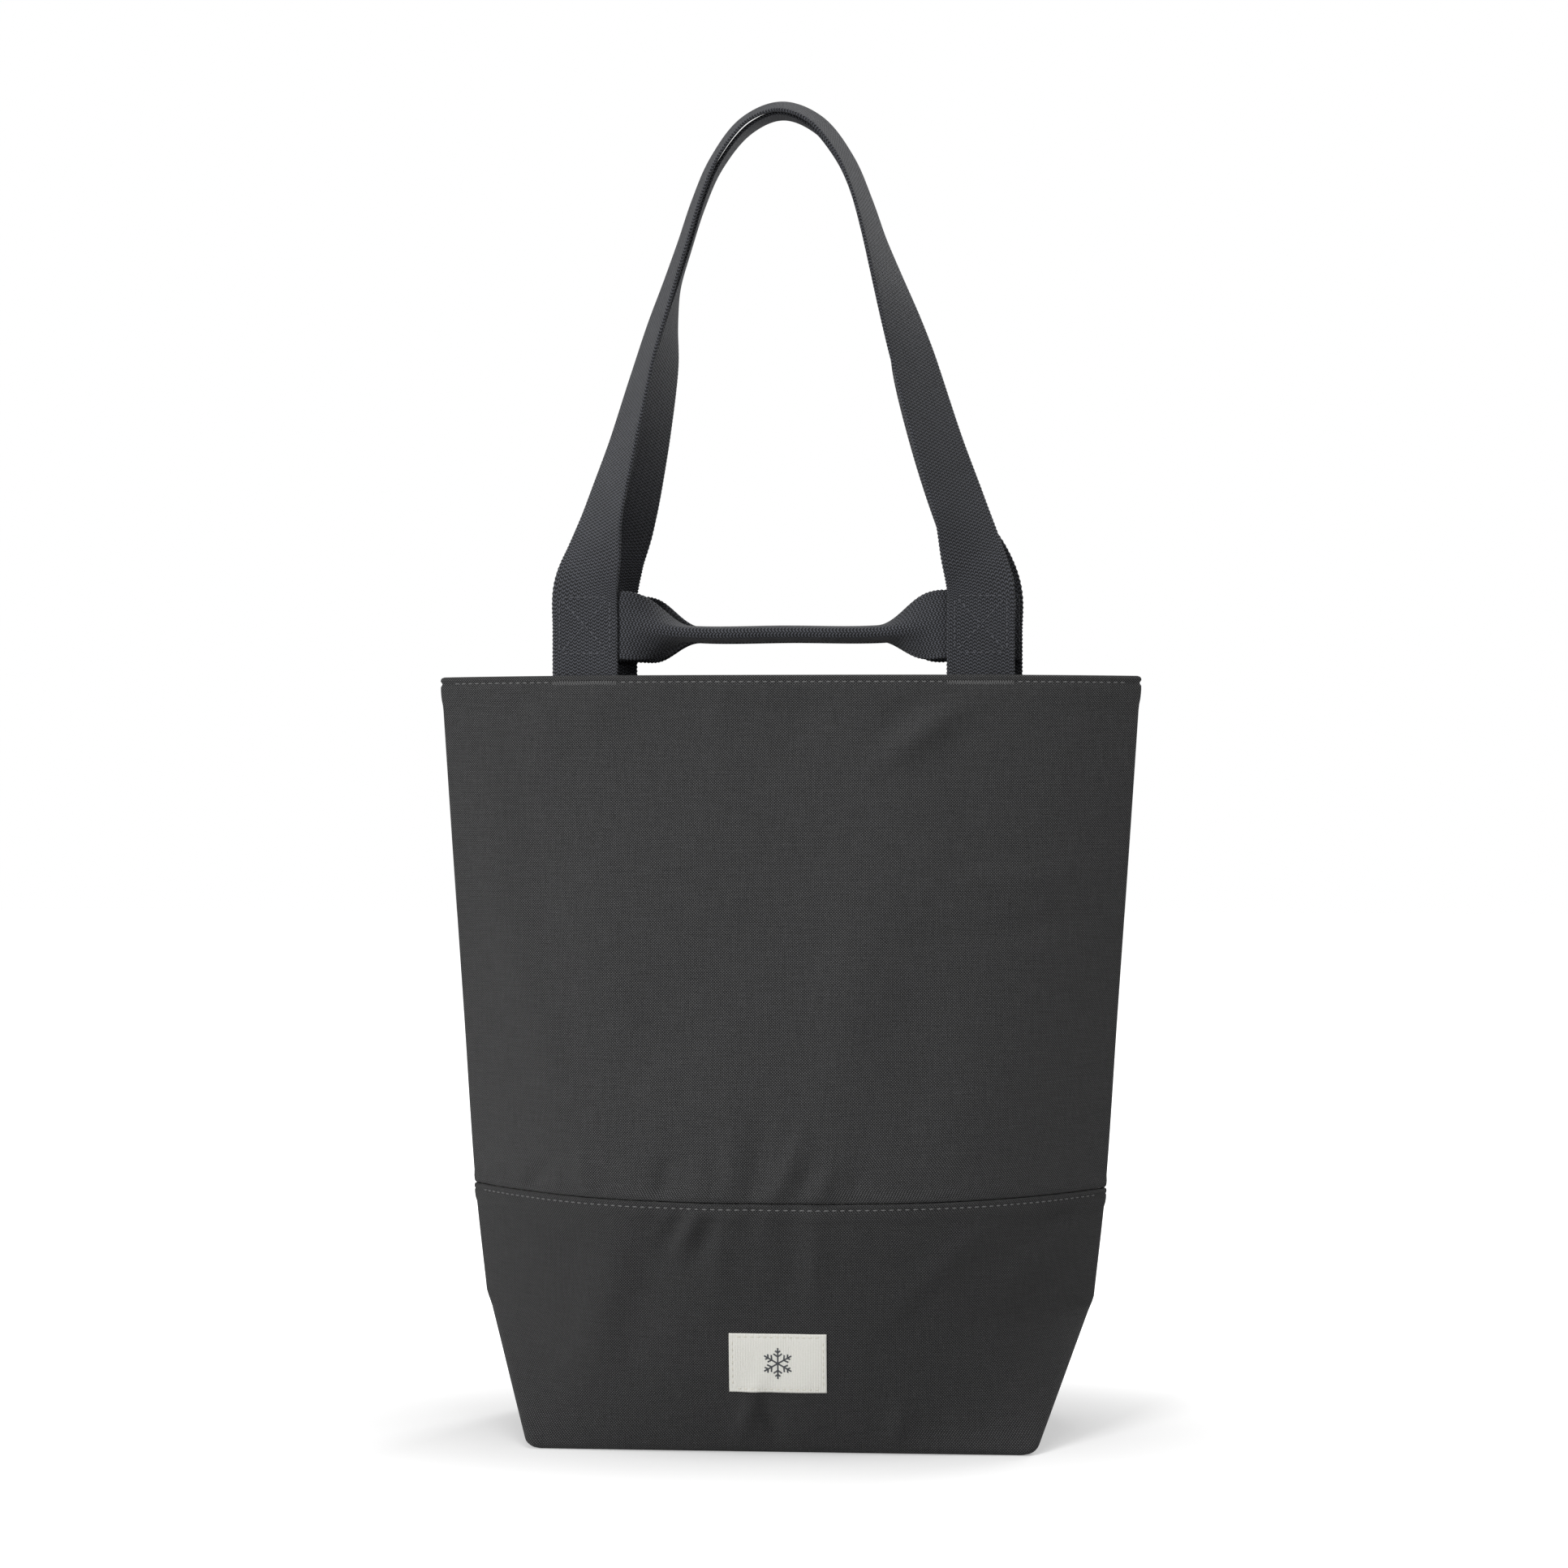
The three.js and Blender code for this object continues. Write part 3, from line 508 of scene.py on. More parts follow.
def loft(name, rows, surface, material, closed=False):
    """A surface through rows of points, shaped from a flat grid; surface holds each point's place on
    the cloth, across and along, in millimetres. A closed one is a tube with its ends filled."""
    count, columns = rows.shape[:2]
    deselect()
    bpy.ops.mesh.primitive_grid_add(x_subdivisions=columns - 1, y_subdivisions=count - 1, size=1)
    piece = bpy.context.object
    piece.name = name
    piece.data.name = name
    piece.data.vertices.foreach_set("co", (rows * MM).reshape(-1))
    while piece.data.uv_layers:
        piece.data.uv_layers.remove(piece.data.uv_layers[0])
    layer = piece.data.uv_layers.new(name="surface")
    corner = np.zeros(len(piece.data.loops), int)
    piece.data.loops.foreach_get("vertex_index", corner)
    layer.data.foreach_set("uv", surface.reshape(-1, 2)[corner].reshape(-1))
    piece.data.update()
    if closed:
        edit(
            piece,
            lambda: bpy.ops.mesh.remove_doubles(threshold=0.00001),
            lambda: bpy.ops.mesh.fill_holes(sides=0),
            lambda: bpy.ops.mesh.normals_make_consistent(inside=False),
        )
    dress(piece, material)
    return piece


def thicken(piece, thickness_mm, offset=-1.0):
    modifier = piece.modifiers.new("thickness", "SOLIDIFY")
    modifier.thickness = thickness_mm * MM
    modifier.offset = offset
    apply_modifiers(piece)
    return piece


def belongs(piece, body, slot, *nodes):
    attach(piece, body)
    if nodes:
        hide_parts(*nodes)
    return piece


def template(make, shape=None):
    """Vertices (mm) and faces of a primitive, after shape has moved its vertices."""
    deselect()
    make()
    start = bpy.context.object
    points = np.array([v.co[:] for v in start.data.vertices])
    faces = [tuple(p.vertices) for p in start.data.polygons]
    bpy.data.objects.remove(start)
    return (shape(points) if shape else points), faces


def repeat(name, part, places, material):
    """One mesh with a copy of the part at each place, a 4x4 matrix in millimetres."""
    points, faces = part
    full = np.hstack([points, np.ones((len(points), 1))])
    all_points = np.vstack([(full @ np.array(place).T)[:, :3] for place in places])
    all_faces = [tuple(i + k * len(points) for i in face) for k in range(len(places)) for face in faces]
    mesh = bpy.data.meshes.new(name)
    mesh.from_pydata((all_points * MM).tolist(), [], all_faces)
    mesh.update()
    piece = bpy.data.objects.new(name, mesh)
    bpy.context.scene.collection.objects.link(piece)
    dress(piece, material)
    return piece


def place_matrix(centre, along, out):
    """Matrix whose x follows along, and whose z points out of the surface."""
    x = Vector(along).normalized()
    y = Vector(out).cross(x).normalized()
    z = x.cross(y)
    turned = Matrix((x, y, z)).transposed().to_4x4()
    return Matrix.Translation(centre) @ turned


# ---------------------------------------------------------------- the bag's form


def outline_at(height, k):
    """Half width (k 1) or half depth (k 2) of the outline at some heights."""
    height = np.asarray(height, float)
    knots, values = OUTLINE[1:, 0], OUTLINE[1:, k]
    last = len(knots) - 1
    low = np.maximum(np.arange(last + 1) - 1, 0)
    high = np.minimum(np.arange(last + 1) + 1, last)
    slopes = (values[high] - values[low]) / (knots[high] - knots[low])
    i = np.clip(np.searchsorted(knots, height) - 1, 0, last - 1)
    span = knots[i + 1] - knots[i]
    t = (height - knots[i]) / span
    rise = t * t * (3 - 2 * t)
    upper = values[i] + (values[i + 1] - values[i]) * rise
    upper = upper + t * (1 - t) ** 2 * span * slopes[i] + t * t * (t - 1) * span * slopes[i + 1]
    share = height / CORNER_HEIGHT
    swell = 2.5 * np.sin(np.pi * share) if k == 2 else 0
    lower = OUTLINE[0, k] + (OUTLINE[1, k] - OUTLINE[0, k]) * share + swell
    return np.where(height <= CORNER_HEIGHT, lower, upper)


def section(height, inset):
    depth = outline_at(height, 2)
    width = outline_at(height, 1)
    corner = BASE_HALF_DEPTH * (1 - height / CORNER_HEIGHT)
    slant = 0.8 * math.hypot(2 * depth, width) / (2 * depth)
    sideways = inset * (1.15 + (slant - 1.15) * min(height / CORNER_HEIGHT, 1))
    ridge = max(corner, SIDE_RIDGE) * (1 - inset / BASE_HALF_DEPTH)
    fullness = FULLNESS_AT_BASE + (FULLNESS_AT_RIM - FULLNESS_AT_BASE) * height / BAG_HEIGHT
    return width - sideways, depth - inset, ridge, fullness


def depth_at(x, height, inset):
    half_width, half_depth, ridge, fullness = section(height, inset)
    swell = 1 - np.minimum(np.abs(np.asarray(x, float) / half_width), 1) ** fullness
    return ridge + (half_depth - ridge) * swell


def wall_rows(side, profile, columns, relief, side_columns):
    """Rows of points up one side of the bag, from side seam to side seam, and their place on the cloth;
    profile holds (height, inset) pairs."""
    rows, surface = [], []
    travel = 0
    last = None
    for height, inset in profile:
        half_width, _, ridge, _ = section(height, inset)
        bend = min(CORNER_ROUND, 0.7 * ridge)
        flat = np.linspace(-1, 1, columns + 1) * (half_width - bend)
        turn = np.linspace(0, math.pi / 2, 6)[1:]
        x_bend = half_width - bend * (1 - np.sin(turn))
        y_bend = depth_at(x_bend, height, inset) - bend * (1 - np.cos(turn))
        y_side = np.linspace(ridge - bend, SEAM_GAP, side_columns + 1)[1:]
        x_side = np.full(side_columns, half_width)
        x_side[-1] -= 0.5
        y_flat = depth_at(flat, height, inset)
        if relief is not None:
            fade = 1 - np.abs(flat / half_width) ** 8
            y_flat = y_flat + relief(flat, height) * fade
        x = np.concatenate([-x_side[::-1], -x_bend[::-1], flat, x_bend, x_side])
        y = np.concatenate([y_side[::-1], y_bend[::-1], y_flat, y_bend, y_side])
        lengths = np.concatenate([[0], np.cumsum(np.hypot(np.diff(x), np.diff(y)))])
        if last is not None:
            travel += math.hypot(height - last[0], inset - last[1])
        last = (height, inset)
        rows.append(np.stack([x, side * y, np.full(len(x), height)], axis=1))
        surface.append(np.stack([lengths - lengths[-1] / 2, np.full(len(x), travel)], axis=1))
    rows, surface = np.array(rows), np.array(surface)
    if side == BACK:
        rows, surface = rows[:, ::-1], surface[:, ::-1]
    return rows, surface


def wall(name, side, profile, columns, material, relief=None, side_columns=6):
    return loft(name, *wall_rows(side, profile, columns, relief, side_columns), material)


def slab(name, side, outer_profile, inner_profile, columns, material, relief=None):
    """A solid layer between two walls that run up the same side of the bag; relief shapes its outer face."""
    rows, surface = wall_rows(side, outer_profile, columns, relief, 3)
    inner_rows, inner_surface = wall_rows(side, inner_profile, columns, None, 3)
    rows = np.concatenate([rows, inner_rows[:, ::-1], rows[:, :1]], axis=1)
    surface = np.concatenate([surface, inner_surface[:, ::-1], surface[:, :1]], axis=1)
    return loft(name, rows, surface, material, closed=True)


# ---------------------------------------------------------------- outer cloth

# soft folds in the cloth: x, height, half length, half width, lean to the right at the top, rise
FRONT_FOLDS = [
    (66, 330, 24, 7, 55, 1.5),
    (52, 334, 16, 8, 40, -0.7),
    (-131, 235, 75, 13, -17, 1.1),
    (-112, 250, 60, 12, -16, -0.7),
    (32, 205, 70, 16, 10, 0.8),
    (62, 190, 60, 16, 8, -0.8),
    (-53, 193, 22, 20, 20, -0.8),
    (-115, 122, 12, 4, 40, -0.9),
    (-91, 124, 12, 4, -15, 0.8),
    (-53, 124, 13, 4, 15, -1.0),
    (-36, 126, 14, 5, 5, 0.6),
    (-22, 130, 22, 4.5, 0, 0.8),
    (-10, 128, 24, 4.5, 5, -0.9),
    (3, 128, 17, 3.5, 22, 1.1),
    (12, 124, 13, 3.5, 20, -0.9),
    (21, 123, 12, 3.5, 18, 0.9),
    (35, 124, 12, 4.5, 12, -0.7),
    (-48, 102, 12, 4, 30, -1.0),
    (-41, 103, 10, 3.5, 30, 1.2),
    (-33, 99, 11, 3.5, 25, -1.0),
    (-27, 92, 20, 5, 0, 0.7),
    (17, 90, 22, 5, 0, 0.8),
    (6, 92, 22, 6, 0, -0.6),
    (-84, 66, 40, 13, 15, 1.4),
    (-60, 72, 34, 12, 10, -0.9),
    (76, 86, 26, 6, 45, 1.2),
    (70, 76, 22, 6, 42, -0.8),
    (114, 84, 20, 6, 50, 0.9),
    (128, 106, 14, 4, 70, -1.0),
    (-14, 19, 14, 4, 20, 1.1),
    (-3, 14, 14, 4, -18, -1.0),
    (54, 13, 11, 4, 5, 0.9),
    (-126, 345, 12, 6, 20, -0.8),
    (-88, 342, 12, 8, 0, 0.7),
    (-31, 340, 18, 6, -8, 0.7),
    (8, 338, 20, 9, 10, -0.6),
    (112, 262, 40, 6, 84, 0.5),
    (118, 240, 36, 6, 80, -0.5),
]


def scattered_folds(seed, count):
    """Folds for the back, near the seams where padded cloth gathers."""
    draw = np.random.default_rng(seed)
    folds = []
    for _ in range(count):
        height = float(draw.choice([18, 95, 128, 200, 270, 338])) + draw.uniform(-8, 8)
        long = draw.uniform(12, 50)
        folds.append((
            draw.uniform(-115, 115), height, long, draw.uniform(0.18, 0.35) * long,
            draw.uniform(-35, 35), draw.uniform(-1.1, 1.1),
        ))
    return folds


def cloth_relief(folds, shift):
    """How far the cloth stands out at places on one side: folds and a gentle unevenness."""
    folds = np.array(folds)

    def relief(x, height):
        out = np.zeros(len(x))
        for fold_x, fold_z, half_long, half_wide, lean, rise in folds:
            angle = math.radians(lean)
            right, up = x - fold_x, height - fold_z
            along = right * math.sin(angle) + up * math.cos(angle)
            across = right * math.cos(angle) - up * math.sin(angle)
            out += rise * np.exp(-((along / half_long) ** 2) - (across / half_wide) ** 2)
        broad = [noise.noise(Vector((px / 62 + shift, height / 75, 0.3))) for px in x]
        fine = [noise.noise(Vector((px / 19, height / 24 + shift, 4.1))) for px in x]
        calm = min(1, max(0, (BAG_HEIGHT - 3 - height) / 14)) * min(1, max(0, (height - 3) / 8))
        at_seam = 1 - 0.75 * math.exp(-((height - SEAM_HEIGHT) / 3.5) ** 2)
        return (out * 2.3 + 2.2 * np.array(broad) + 0.5 * np.array(fine)) * calm * at_seam

    return relief


def spaced(low, high, spacing, inset=0.0):
    count = max(1, round((high - low) / spacing))
    return [(low + (high - low) * i / count, inset) for i in range(count + 1)]


def base_edge():
    """The rounded edge where the side of the bag turns under, from the ground up."""
    turns = np.linspace(0, math.pi / 2, 7)
    rounded = [
        (0.1 + BASE_EDGE_ROUND * (1 - math.cos(a)), BASE_EDGE_ROUND * (1 - math.sin(a))) for a in turns
    ]
    return [(0.12, 8.0), (0.1, 6.0), *rounded]


LOWER_PROFILE = [
    *base_edge(),
    *spaced(6.5, 104, 2.5),
    (106, -0.05), (107.3, -0.3), (108.6, -0.5), (110.3, -0.55), (111.5, -0.5), (112.3, -0.2),
    (113.1, -0.5), (114, -0.45), (114.6, -0.15), (114.9, 0.35), (114.85, 0.9), (114.3, 1.3),
]
UPPER_PROFILE = [
    (115.9, 1.35), (115.4, 1.1), (115.2, 0.7), (115.3, 0.25), (115.8, -0.1), (116.8, -0.25), (118.4, -0.25),
    *spaced(121, 340, 2.6),
    (342.5, -0.05), (345, -0.2), (347.5, -0.25), (349.5, -0.25), (351.2, -0.2), (352.1, 0.05), (352.6, 0.15),
    (353.1, 0.05), (353.9, -0.15), (354.8, -0.1), (355.5, 0.15), (355.9, 0.6), (355.9, 1.05),
    (355.5, 1.4), (354.5, 1.5), (352, 1.5), (349, 1.5),
]
RELIEFS = {"front": cloth_relief(FRONT_FOLDS, 0.0), "back": cloth_relief(scattered_folds(5, 26), 7.3)}
WALL_COLUMNS = 124

outer = {}
# The lower panels wear the darker copy of the cloth, a painted shade.
for end, side in SIDES.items():
    for level, profile, material, slot in (
        ("lower", LOWER_PROFILE, LOWER_CLOTH_PAINTED_SHADE, "lower_cloth"),
        ("upper", UPPER_PROFILE, BAG_CLOTH, "bag_cloth"),
    ):
        panel = wall(f"{end}_{level}_cloth", side, profile, WALL_COLUMNS, material, RELIEFS[end])
        outer[end, level] = BVHTree.FromObject(panel, bpy.context.evaluated_depsgraph_get())
        thicken(panel, CLOTH_THICKNESS)
        belongs(panel, "bag", slot, f"outer_{end}_{level}")


def on_cloth(end, level, x, height, lift=0.0):
    """(point, outward direction) on the finished outer cloth, in millimetres."""
    side = SIDES[end]
    outside = Vector((x, side * 200, height)) * MM
    hit, normal, _, _ = outer[end, level].ray_cast(outside, Vector((0, -side, 0)))
    if normal.y * side < 0:
        normal = -normal
    return hit / MM + normal * lift, normal


# ---------------------------------------------------------------- base


def base_plate(name, bottom, top, inset, material, dip=0.0):
    """A flat layer of the base: its outline follows the walls, and its edge is softened."""
    xs = np.linspace(-1, 1, 45) * (section(bottom + 4, inset)[0] - 1.5)
    shares = np.linspace(-1, 1, 21)
    rows = []
    surface = []
    for share in shares:
        y = share * np.minimum(depth_at(xs, bottom + 0.5, inset), depth_at(xs, top + 0.5, inset))
        sag = dip * (1 - (xs / 120) ** 2) * (1 - share ** 2)
        rows.append(np.stack([xs, y, top - sag], axis=1))
        surface.append(np.stack([xs, y], axis=1))
    piece = loft(name, np.array(rows), np.array(surface), material)
    thicken(piece, top - bottom)
    soften = piece.modifiers.new("soft_edge", "BEVEL")
    soften.width = 0.3 * (top - bottom) * MM
    soften.segments = 2
    apply_modifiers(piece)
    return piece


# The base cloth wears the darker copy of the cloth too, a painted shade.
belongs(base_plate("base_cloth", 0.05, 0.75, 7.2, LOWER_CLOTH_PAINTED_SHADE), "bag", "lower_cloth", "outer_base")
belongs(base_plate("base_board_sheet", 1.4, 3.2, 7.5, BOARD), "bag", "board", "base_board")
base_foam = belongs(base_plate("base_foam_pad", 3.6, 8.1, 7.5, FOAM, dip=0.2), "bag", "foam", "foam_base")
base_film = base_plate("base_lining_film", 8.7, 9.2, 8.5, LINING_FILM, dip=0.3)
belongs(base_film, "bag", "lining_film", "lining_base")

# ---------------------------------------------------------------- foam, lining and facing

FOAM_SHEET = {"inset": 1.7, "thickness": 3.6}
FOAM_SQUEEZE = 3.3  # the most that a fold of the cloth presses into the foam


def pressed(relief):
    """The foam gives way where the cloth dips, and stays flat where the cloth stands out."""
    return lambda x, height: np.clip(relief(x, height), -FOAM_SQUEEZE, 0)


for end, side in SIDES.items():
    for level, low, high in (("lower", 8.6, 114.4), ("upper", 115.6, 340.5)):
        near, far = FOAM_SHEET["inset"], FOAM_SHEET["inset"] + FOAM_SHEET["thickness"]
        pad = slab(
            f"{end}_{level}_foam_pad", side, spaced(low, high, 3, near), spaced(low, high, 3, far), 110, FOAM,
            pressed(RELIEFS[end]),
        )
        belongs(pad, "bag", "foam", f"foam_{end}_{level}")


def film_relief(shift):
    """The film stands away from the foam in soft crumples."""
    def relief(x, height):
        crumple = [noise.noise(Vector((px / 26 + shift, height / 34, 1.7))) for px in x]
        sharp = [abs(noise.noise(Vector((px / 13, height / 17 + shift, 5.2)))) for px in x]
        return -0.5 * np.array(crumple) - 0.7 * np.array(sharp)

    return relief


for end, side in SIDES.items():
    film = wall(
        f"{end}_lining_film", side, spaced(9.2, 338, 3.5, 6.3), 90, LINING_FILM,
        film_relief(side), 4,
    )
    thicken(film, 0.25)
    belongs(film, "bag", "lining_film", f"lining_{end}")

FACING_PROFILE = [
    *spaced(326.2, 337, 2.2, 7.6), (339.5, 7.2), (342.5, 6.3), (346, 5.3), (349, 4.5), (351.5, 4.25),
    (352.6, 4.1), (353.6, 4.25), (355, 4.4), (355.6, 4.1), (355.9, 3.8),
]
for end, side in SIDES.items():
    inner_face = [(height, inset + 0.7) for height, inset in FACING_PROFILE]
    band = slab(f"{end}_rim_facing_cloth", side, FACING_PROFILE, inner_face, 90, FACING_CLOTH)
    belongs(band, "bag", "facing_cloth", f"rim_facing_{end}")

# ---------------------------------------------------------------- straps


def catmull_rom(points, t):
    """(position) on a centripetal Catmull-Rom curve through points, t from 0 to 1."""
    last = len(points) - 1
    i = min(int(t * last), last - 1)
    share = t * last - i
    before = points[i - 1] if i > 0 else 2 * points[0] - points[1]
    after = points[i + 2] if i + 2 <= last else 2 * points[last] - points[last - 1]
    p0, p1, p2, p3 = before, points[i], points[i + 1], after
    d0, d1, d2 = (max(np.linalg.norm(b - a), 1e-4) ** 0.5 for a, b in ((p0, p1), (p1, p2), (p2, p3)))
    leave = ((p1 - p0) / d0 - (p2 - p0) / (d0 + d1) + (p2 - p1) / d1) * d1
    arrive = ((p2 - p1) / d1 - (p3 - p1) / (d1 + d2) + (p3 - p2) / d2) * d1
    s2, s3 = share * share, share ** 3
    return (
        (2 * s3 - 3 * s2 + 1) * p1 + (s3 - 2 * s2 + share) * leave
        + (3 * s2 - 2 * s3) * p2 + (s3 - s2) * arrive
    )


def smooth_step(x, low, high):
    t = min(1, max(0, (x - low) / (high - low)))
    return t * t * (3 - 2 * t)


def leg_middle(strap, end, height):
    x = end * LEG_SPACING + strap["shift"]
    depth = float(depth_at(x, min(height, BAG_HEIGHT), LEG_INSET))
    return np.array([x, strap["side"] * depth, height])


def strap_point(strap, end, spacing, height):
    rise = smooth_step(height, TWIST_START, STRAP_APEX)
    loosened = 1 + (TUCK_LEFT_AT_TOP - 1) * smooth_step(height, 500, 545)
    tuck = strap["tuck"] * smooth_step(height, 406, 438) * loosened
    drop = strap["drop"] * smooth_step(height, 560, STRAP_APEX)
    lean_share = smooth_step(height, TWIST_START, 520)
    lean = strap["shift"] + (STRAP_LEAN - strap["shift"]) * lean_share
    y = leg_middle(strap, end, height)[1]
    y += (strap["apex_y"] - y) * rise
    return np.array([end * (spacing - tuck) + lean, y, height - drop])


def even(points, *others, spacing):
    """The line through points, and values along it, at an even spacing."""
    steps = np.linalg.norm(np.diff(points, axis=0), axis=1)
    travel = np.concatenate([[0], np.cumsum(steps)])
    count = int(round(travel[-1] / spacing))
    marks = np.linspace(0, travel[-1], count + 1)
    resampled = [np.stack([np.interp(marks, travel, points[:, k]) for k in range(3)], axis=1)]
    resampled += [np.interp(marks, travel, values) for values in others]
    return marks, resampled


def soften_line(values, width):
    kernel = np.hanning(2 * width + 3)[1:-1]
    kernel /= kernel.sum()
    pad = np.pad(values, [(width, width)] + [(0, 0)] * (values.ndim - 1), mode="edge")
    if values.ndim == 1:
        return np.convolve(pad, kernel, mode="valid")
    return np.stack([np.convolve(pad[:, k], kernel, mode="valid") for k in range(values.shape[1])], axis=1)


ROW_SPACING = RIB_PITCH / 4


def strap_line(strap):
    """Middle of the webbing and its turn in degrees, from one sewn tail round to the other."""
    up = [strap_point(strap, -1, stop[0], stop[1]) for stop in STRAP_ROUTE]
    down = [strap_point(strap, 1, stop[0], stop[1]) for stop in STRAP_ROUTE][::-1]
    apex = np.array([STRAP_LEAN, strap["apex_y"], STRAP_APEX - strap["drop"]])
    stops = [*up, apex, *down]
    left_turns, right_turns = ([stop[k] for stop in STRAP_ROUTE] for k in strap["turns"])
    turns = [*left_turns, strap["apex_turn"], *right_turns[::-1]]
    t = np.linspace(0, 1, 1500)
    loop = np.array([catmull_rom(stops, share) for share in t])
    turn = np.interp(t * (len(turns) - 1), np.arange(len(turns)), turns)
    heights = np.linspace(TAIL_BOTTOM, STRAP_START - 0.5, 40)
    left = np.array([leg_middle(strap, -1, h) for h in heights])
    right = np.array([leg_middle(strap, 1, h) for h in heights[::-1]])
    points = np.concatenate([left, loop, right])
    turn = np.concatenate([np.full(40, LEG_TURN), turn, np.full(40, LEG_TURN)])
    marks, (points, turn) = even(points, turn, spacing=ROW_SPACING)
    ends = points[0].copy(), points[-1].copy()
    points = soften_line(points, 6)
    points[0], points[-1] = ends
    return marks, points, soften_line(turn, 24)


def ring_profile(flat_points=19, edge_points=5):
    """Points round the webbing's section: (across share of half the flat, out share, edge angle)."""
    flat = WEB_WIDTH / 2 - WEB_THICKNESS / 2
    across = np.linspace(-flat, flat, flat_points)
    turn = np.linspace(-math.pi / 2, math.pi / 2, edge_points + 2)[1:-1]
    half = WEB_THICKNESS / 2
    face = [(v, half) for v in across]
    right_edge = [(flat + half * math.cos(a), half * math.sin(-a)) for a in turn]
    back = [(v, -half) for v in across[::-1]]
    left_edge = [(-flat - half * math.cos(a), half * math.sin(a)) for a in turn]
    ring = [*face, *right_edge, *back, *left_edge]
    return np.array([*ring, ring[0]])


def webbing(name, marks, middle, across, face, shape=None):
    """Webbing along a line of frames, with scalloped selvedges and softly ribbed faces."""
    ring = ring_profile()
    flat = WEB_WIDTH / 2 - WEB_THICKNESS / 2
    travel = np.concatenate([[0], np.cumsum(np.linalg.norm(np.diff(ring, axis=0), axis=1))])
    travel -= flat
    beyond = np.clip((np.abs(ring[:, 0]) - flat) / (WEB_THICKNESS / 2), 0, 1) * np.sign(ring[:, 0])
    rows, surface = [], []
    for i, mark in enumerate(marks):
        scallop = 0.2 * math.sin(2 * math.pi * mark / RIB_PITCH)
        v = ring[:, 0] + scallop * beyond
        out = ring[:, 1] * (0.94 + 0.06 * np.cos(2 * math.pi * ring[:, 0] / 5))
        if shape is None:
            points = middle[i] + np.outer(v, across[i]) + np.outer(out, face[i])
        else:
            points = shape(i, v, out)
        rows.append(points)
        surface.append(np.stack([travel, np.full(len(travel), mark)], axis=1))
    return loft(name, np.array(rows), np.array(surface), WEBBING, closed=True)


def unit(vectors):
    return vectors / np.linalg.norm(vectors, axis=1)[:, None]


def shoulder_strap(end):
    strap = STRAPS[end]
    marks, middle, turn = strap_line(strap)
    along = unit(np.gradient(middle, axis=0))
    y_axis = np.array([0.0, 1.0, 0.0])
    outward = unit(-np.cross(y_axis, along))
    sideways = unit(strap["side"] * (y_axis - along * along[:, 1:2]))
    angle = np.radians(turn)[:, None]
    face = unit(sideways * np.cos(angle) + outward * np.sin(angle))
    across = unit(np.cross(along, face))
    piece = webbing(f"{end}_shoulder_strap", marks, middle, across, face)
    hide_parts(f"shoulder_strap_{end}", f"strap_tail_{end}_left", f"strap_tail_{end}_right")
    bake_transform(piece)


def leg_across(side, end):
    turn = math.radians(LEG_TURN)
    return np.array([-end * math.cos(turn), side * math.sin(turn), 0])


def short_handle(end):
    """Webbing sewn flat behind each leg, folding to a narrow U along the grip."""
    strap = STRAPS[end]
    side = strap["side"]
    step = WEB_THICKNESS + 0.3

    def sewn(leg):
        across = leg_across(side, leg)
        behind = np.cross([0, 0, 1], across) * side * leg * step
        middle = leg_middle(strap, leg, HANDLE_HEIGHT)
        return [middle + across * share * WEB_WIDTH + behind for share in (-0.47, 0, 0.47, 0.6)]

    grip = [
        np.array([leg * GRIP_HALF_LENGTH + strap["shift"], side * GRIP_OFFSET, GRIP_HEIGHT])
        for leg in (-1, 0, 1)
    ]
    stops = [*sewn(-1), *grip, *sewn(1)[::-1]]
    line = np.array([catmull_rom(stops, t) for t in np.linspace(0, 1, 700)])
    marks, (middle,) = even(line, spacing=ROW_SPACING)
    along = np.gradient(middle, axis=0)
    along[:, 2] = 0
    along = unit(along)
    inward = np.cross([0, 0, 1], along) * -side
    reach = np.abs(middle[:, 0] - strap["shift"])
    fold_length = FOLD_START - GRIP_HALF_LENGTH
    folds = [math.radians(FOLD_ANGLE) * smooth_step(FOLD_START - r, 0, fold_length) for r in reach]
    fine = np.linspace(0, WEB_WIDTH / 2 + 1, 161)
    bend = np.clip(fine / FOLD_WIDTH, 0, 1)
    bend = bend * bend * (3 - 2 * bend)

    def shape(i, v, out):
        angle = folds[i] * bend
        spacing = fine[1] - fine[0]
        deep = np.concatenate([[0], np.cumsum(np.sin((angle[1:] + angle[:-1]) / 2)) * spacing])
        tall = np.concatenate([[0], np.cumsum(np.cos((angle[1:] + angle[:-1]) / 2)) * spacing])
        size, sign = np.abs(v), np.sign(v)
        here = np.interp(size, fine, angle)
        depth = np.interp(size, fine, deep) - out * np.cos(here)
        height = sign * (np.interp(size, fine, tall) + out * np.sin(here))
        return middle[i] + np.outer(depth, inward[i]) + np.outer(height, [0, 0, 1])

    piece = webbing(f"{end}_short_handle", marks, middle, None, None, shape)
    belongs(piece, f"{end}_strap", "webbing", f"short_handle_{end}")


for end in SIDES:
    shoulder_strap(end)
    short_handle(end)

# ---------------------------------------------------------------- stitches


def stitch_shape(length, thickness, dip):
    """A short length of thread whose ends dive into the cloth."""
    def shape(points):
        out = points.copy()
        out[:, 0] *= length / 2
        out[:, 1] *= thickness / 2
        out[:, 2] = points[:, 2] * thickness / 2 - dip * points[:, 0] ** 4
        return out

    return template(
        lambda: bpy.ops.mesh.primitive_uv_sphere_add(segments=8, ring_count=5, radius=1),
        shape,
    )


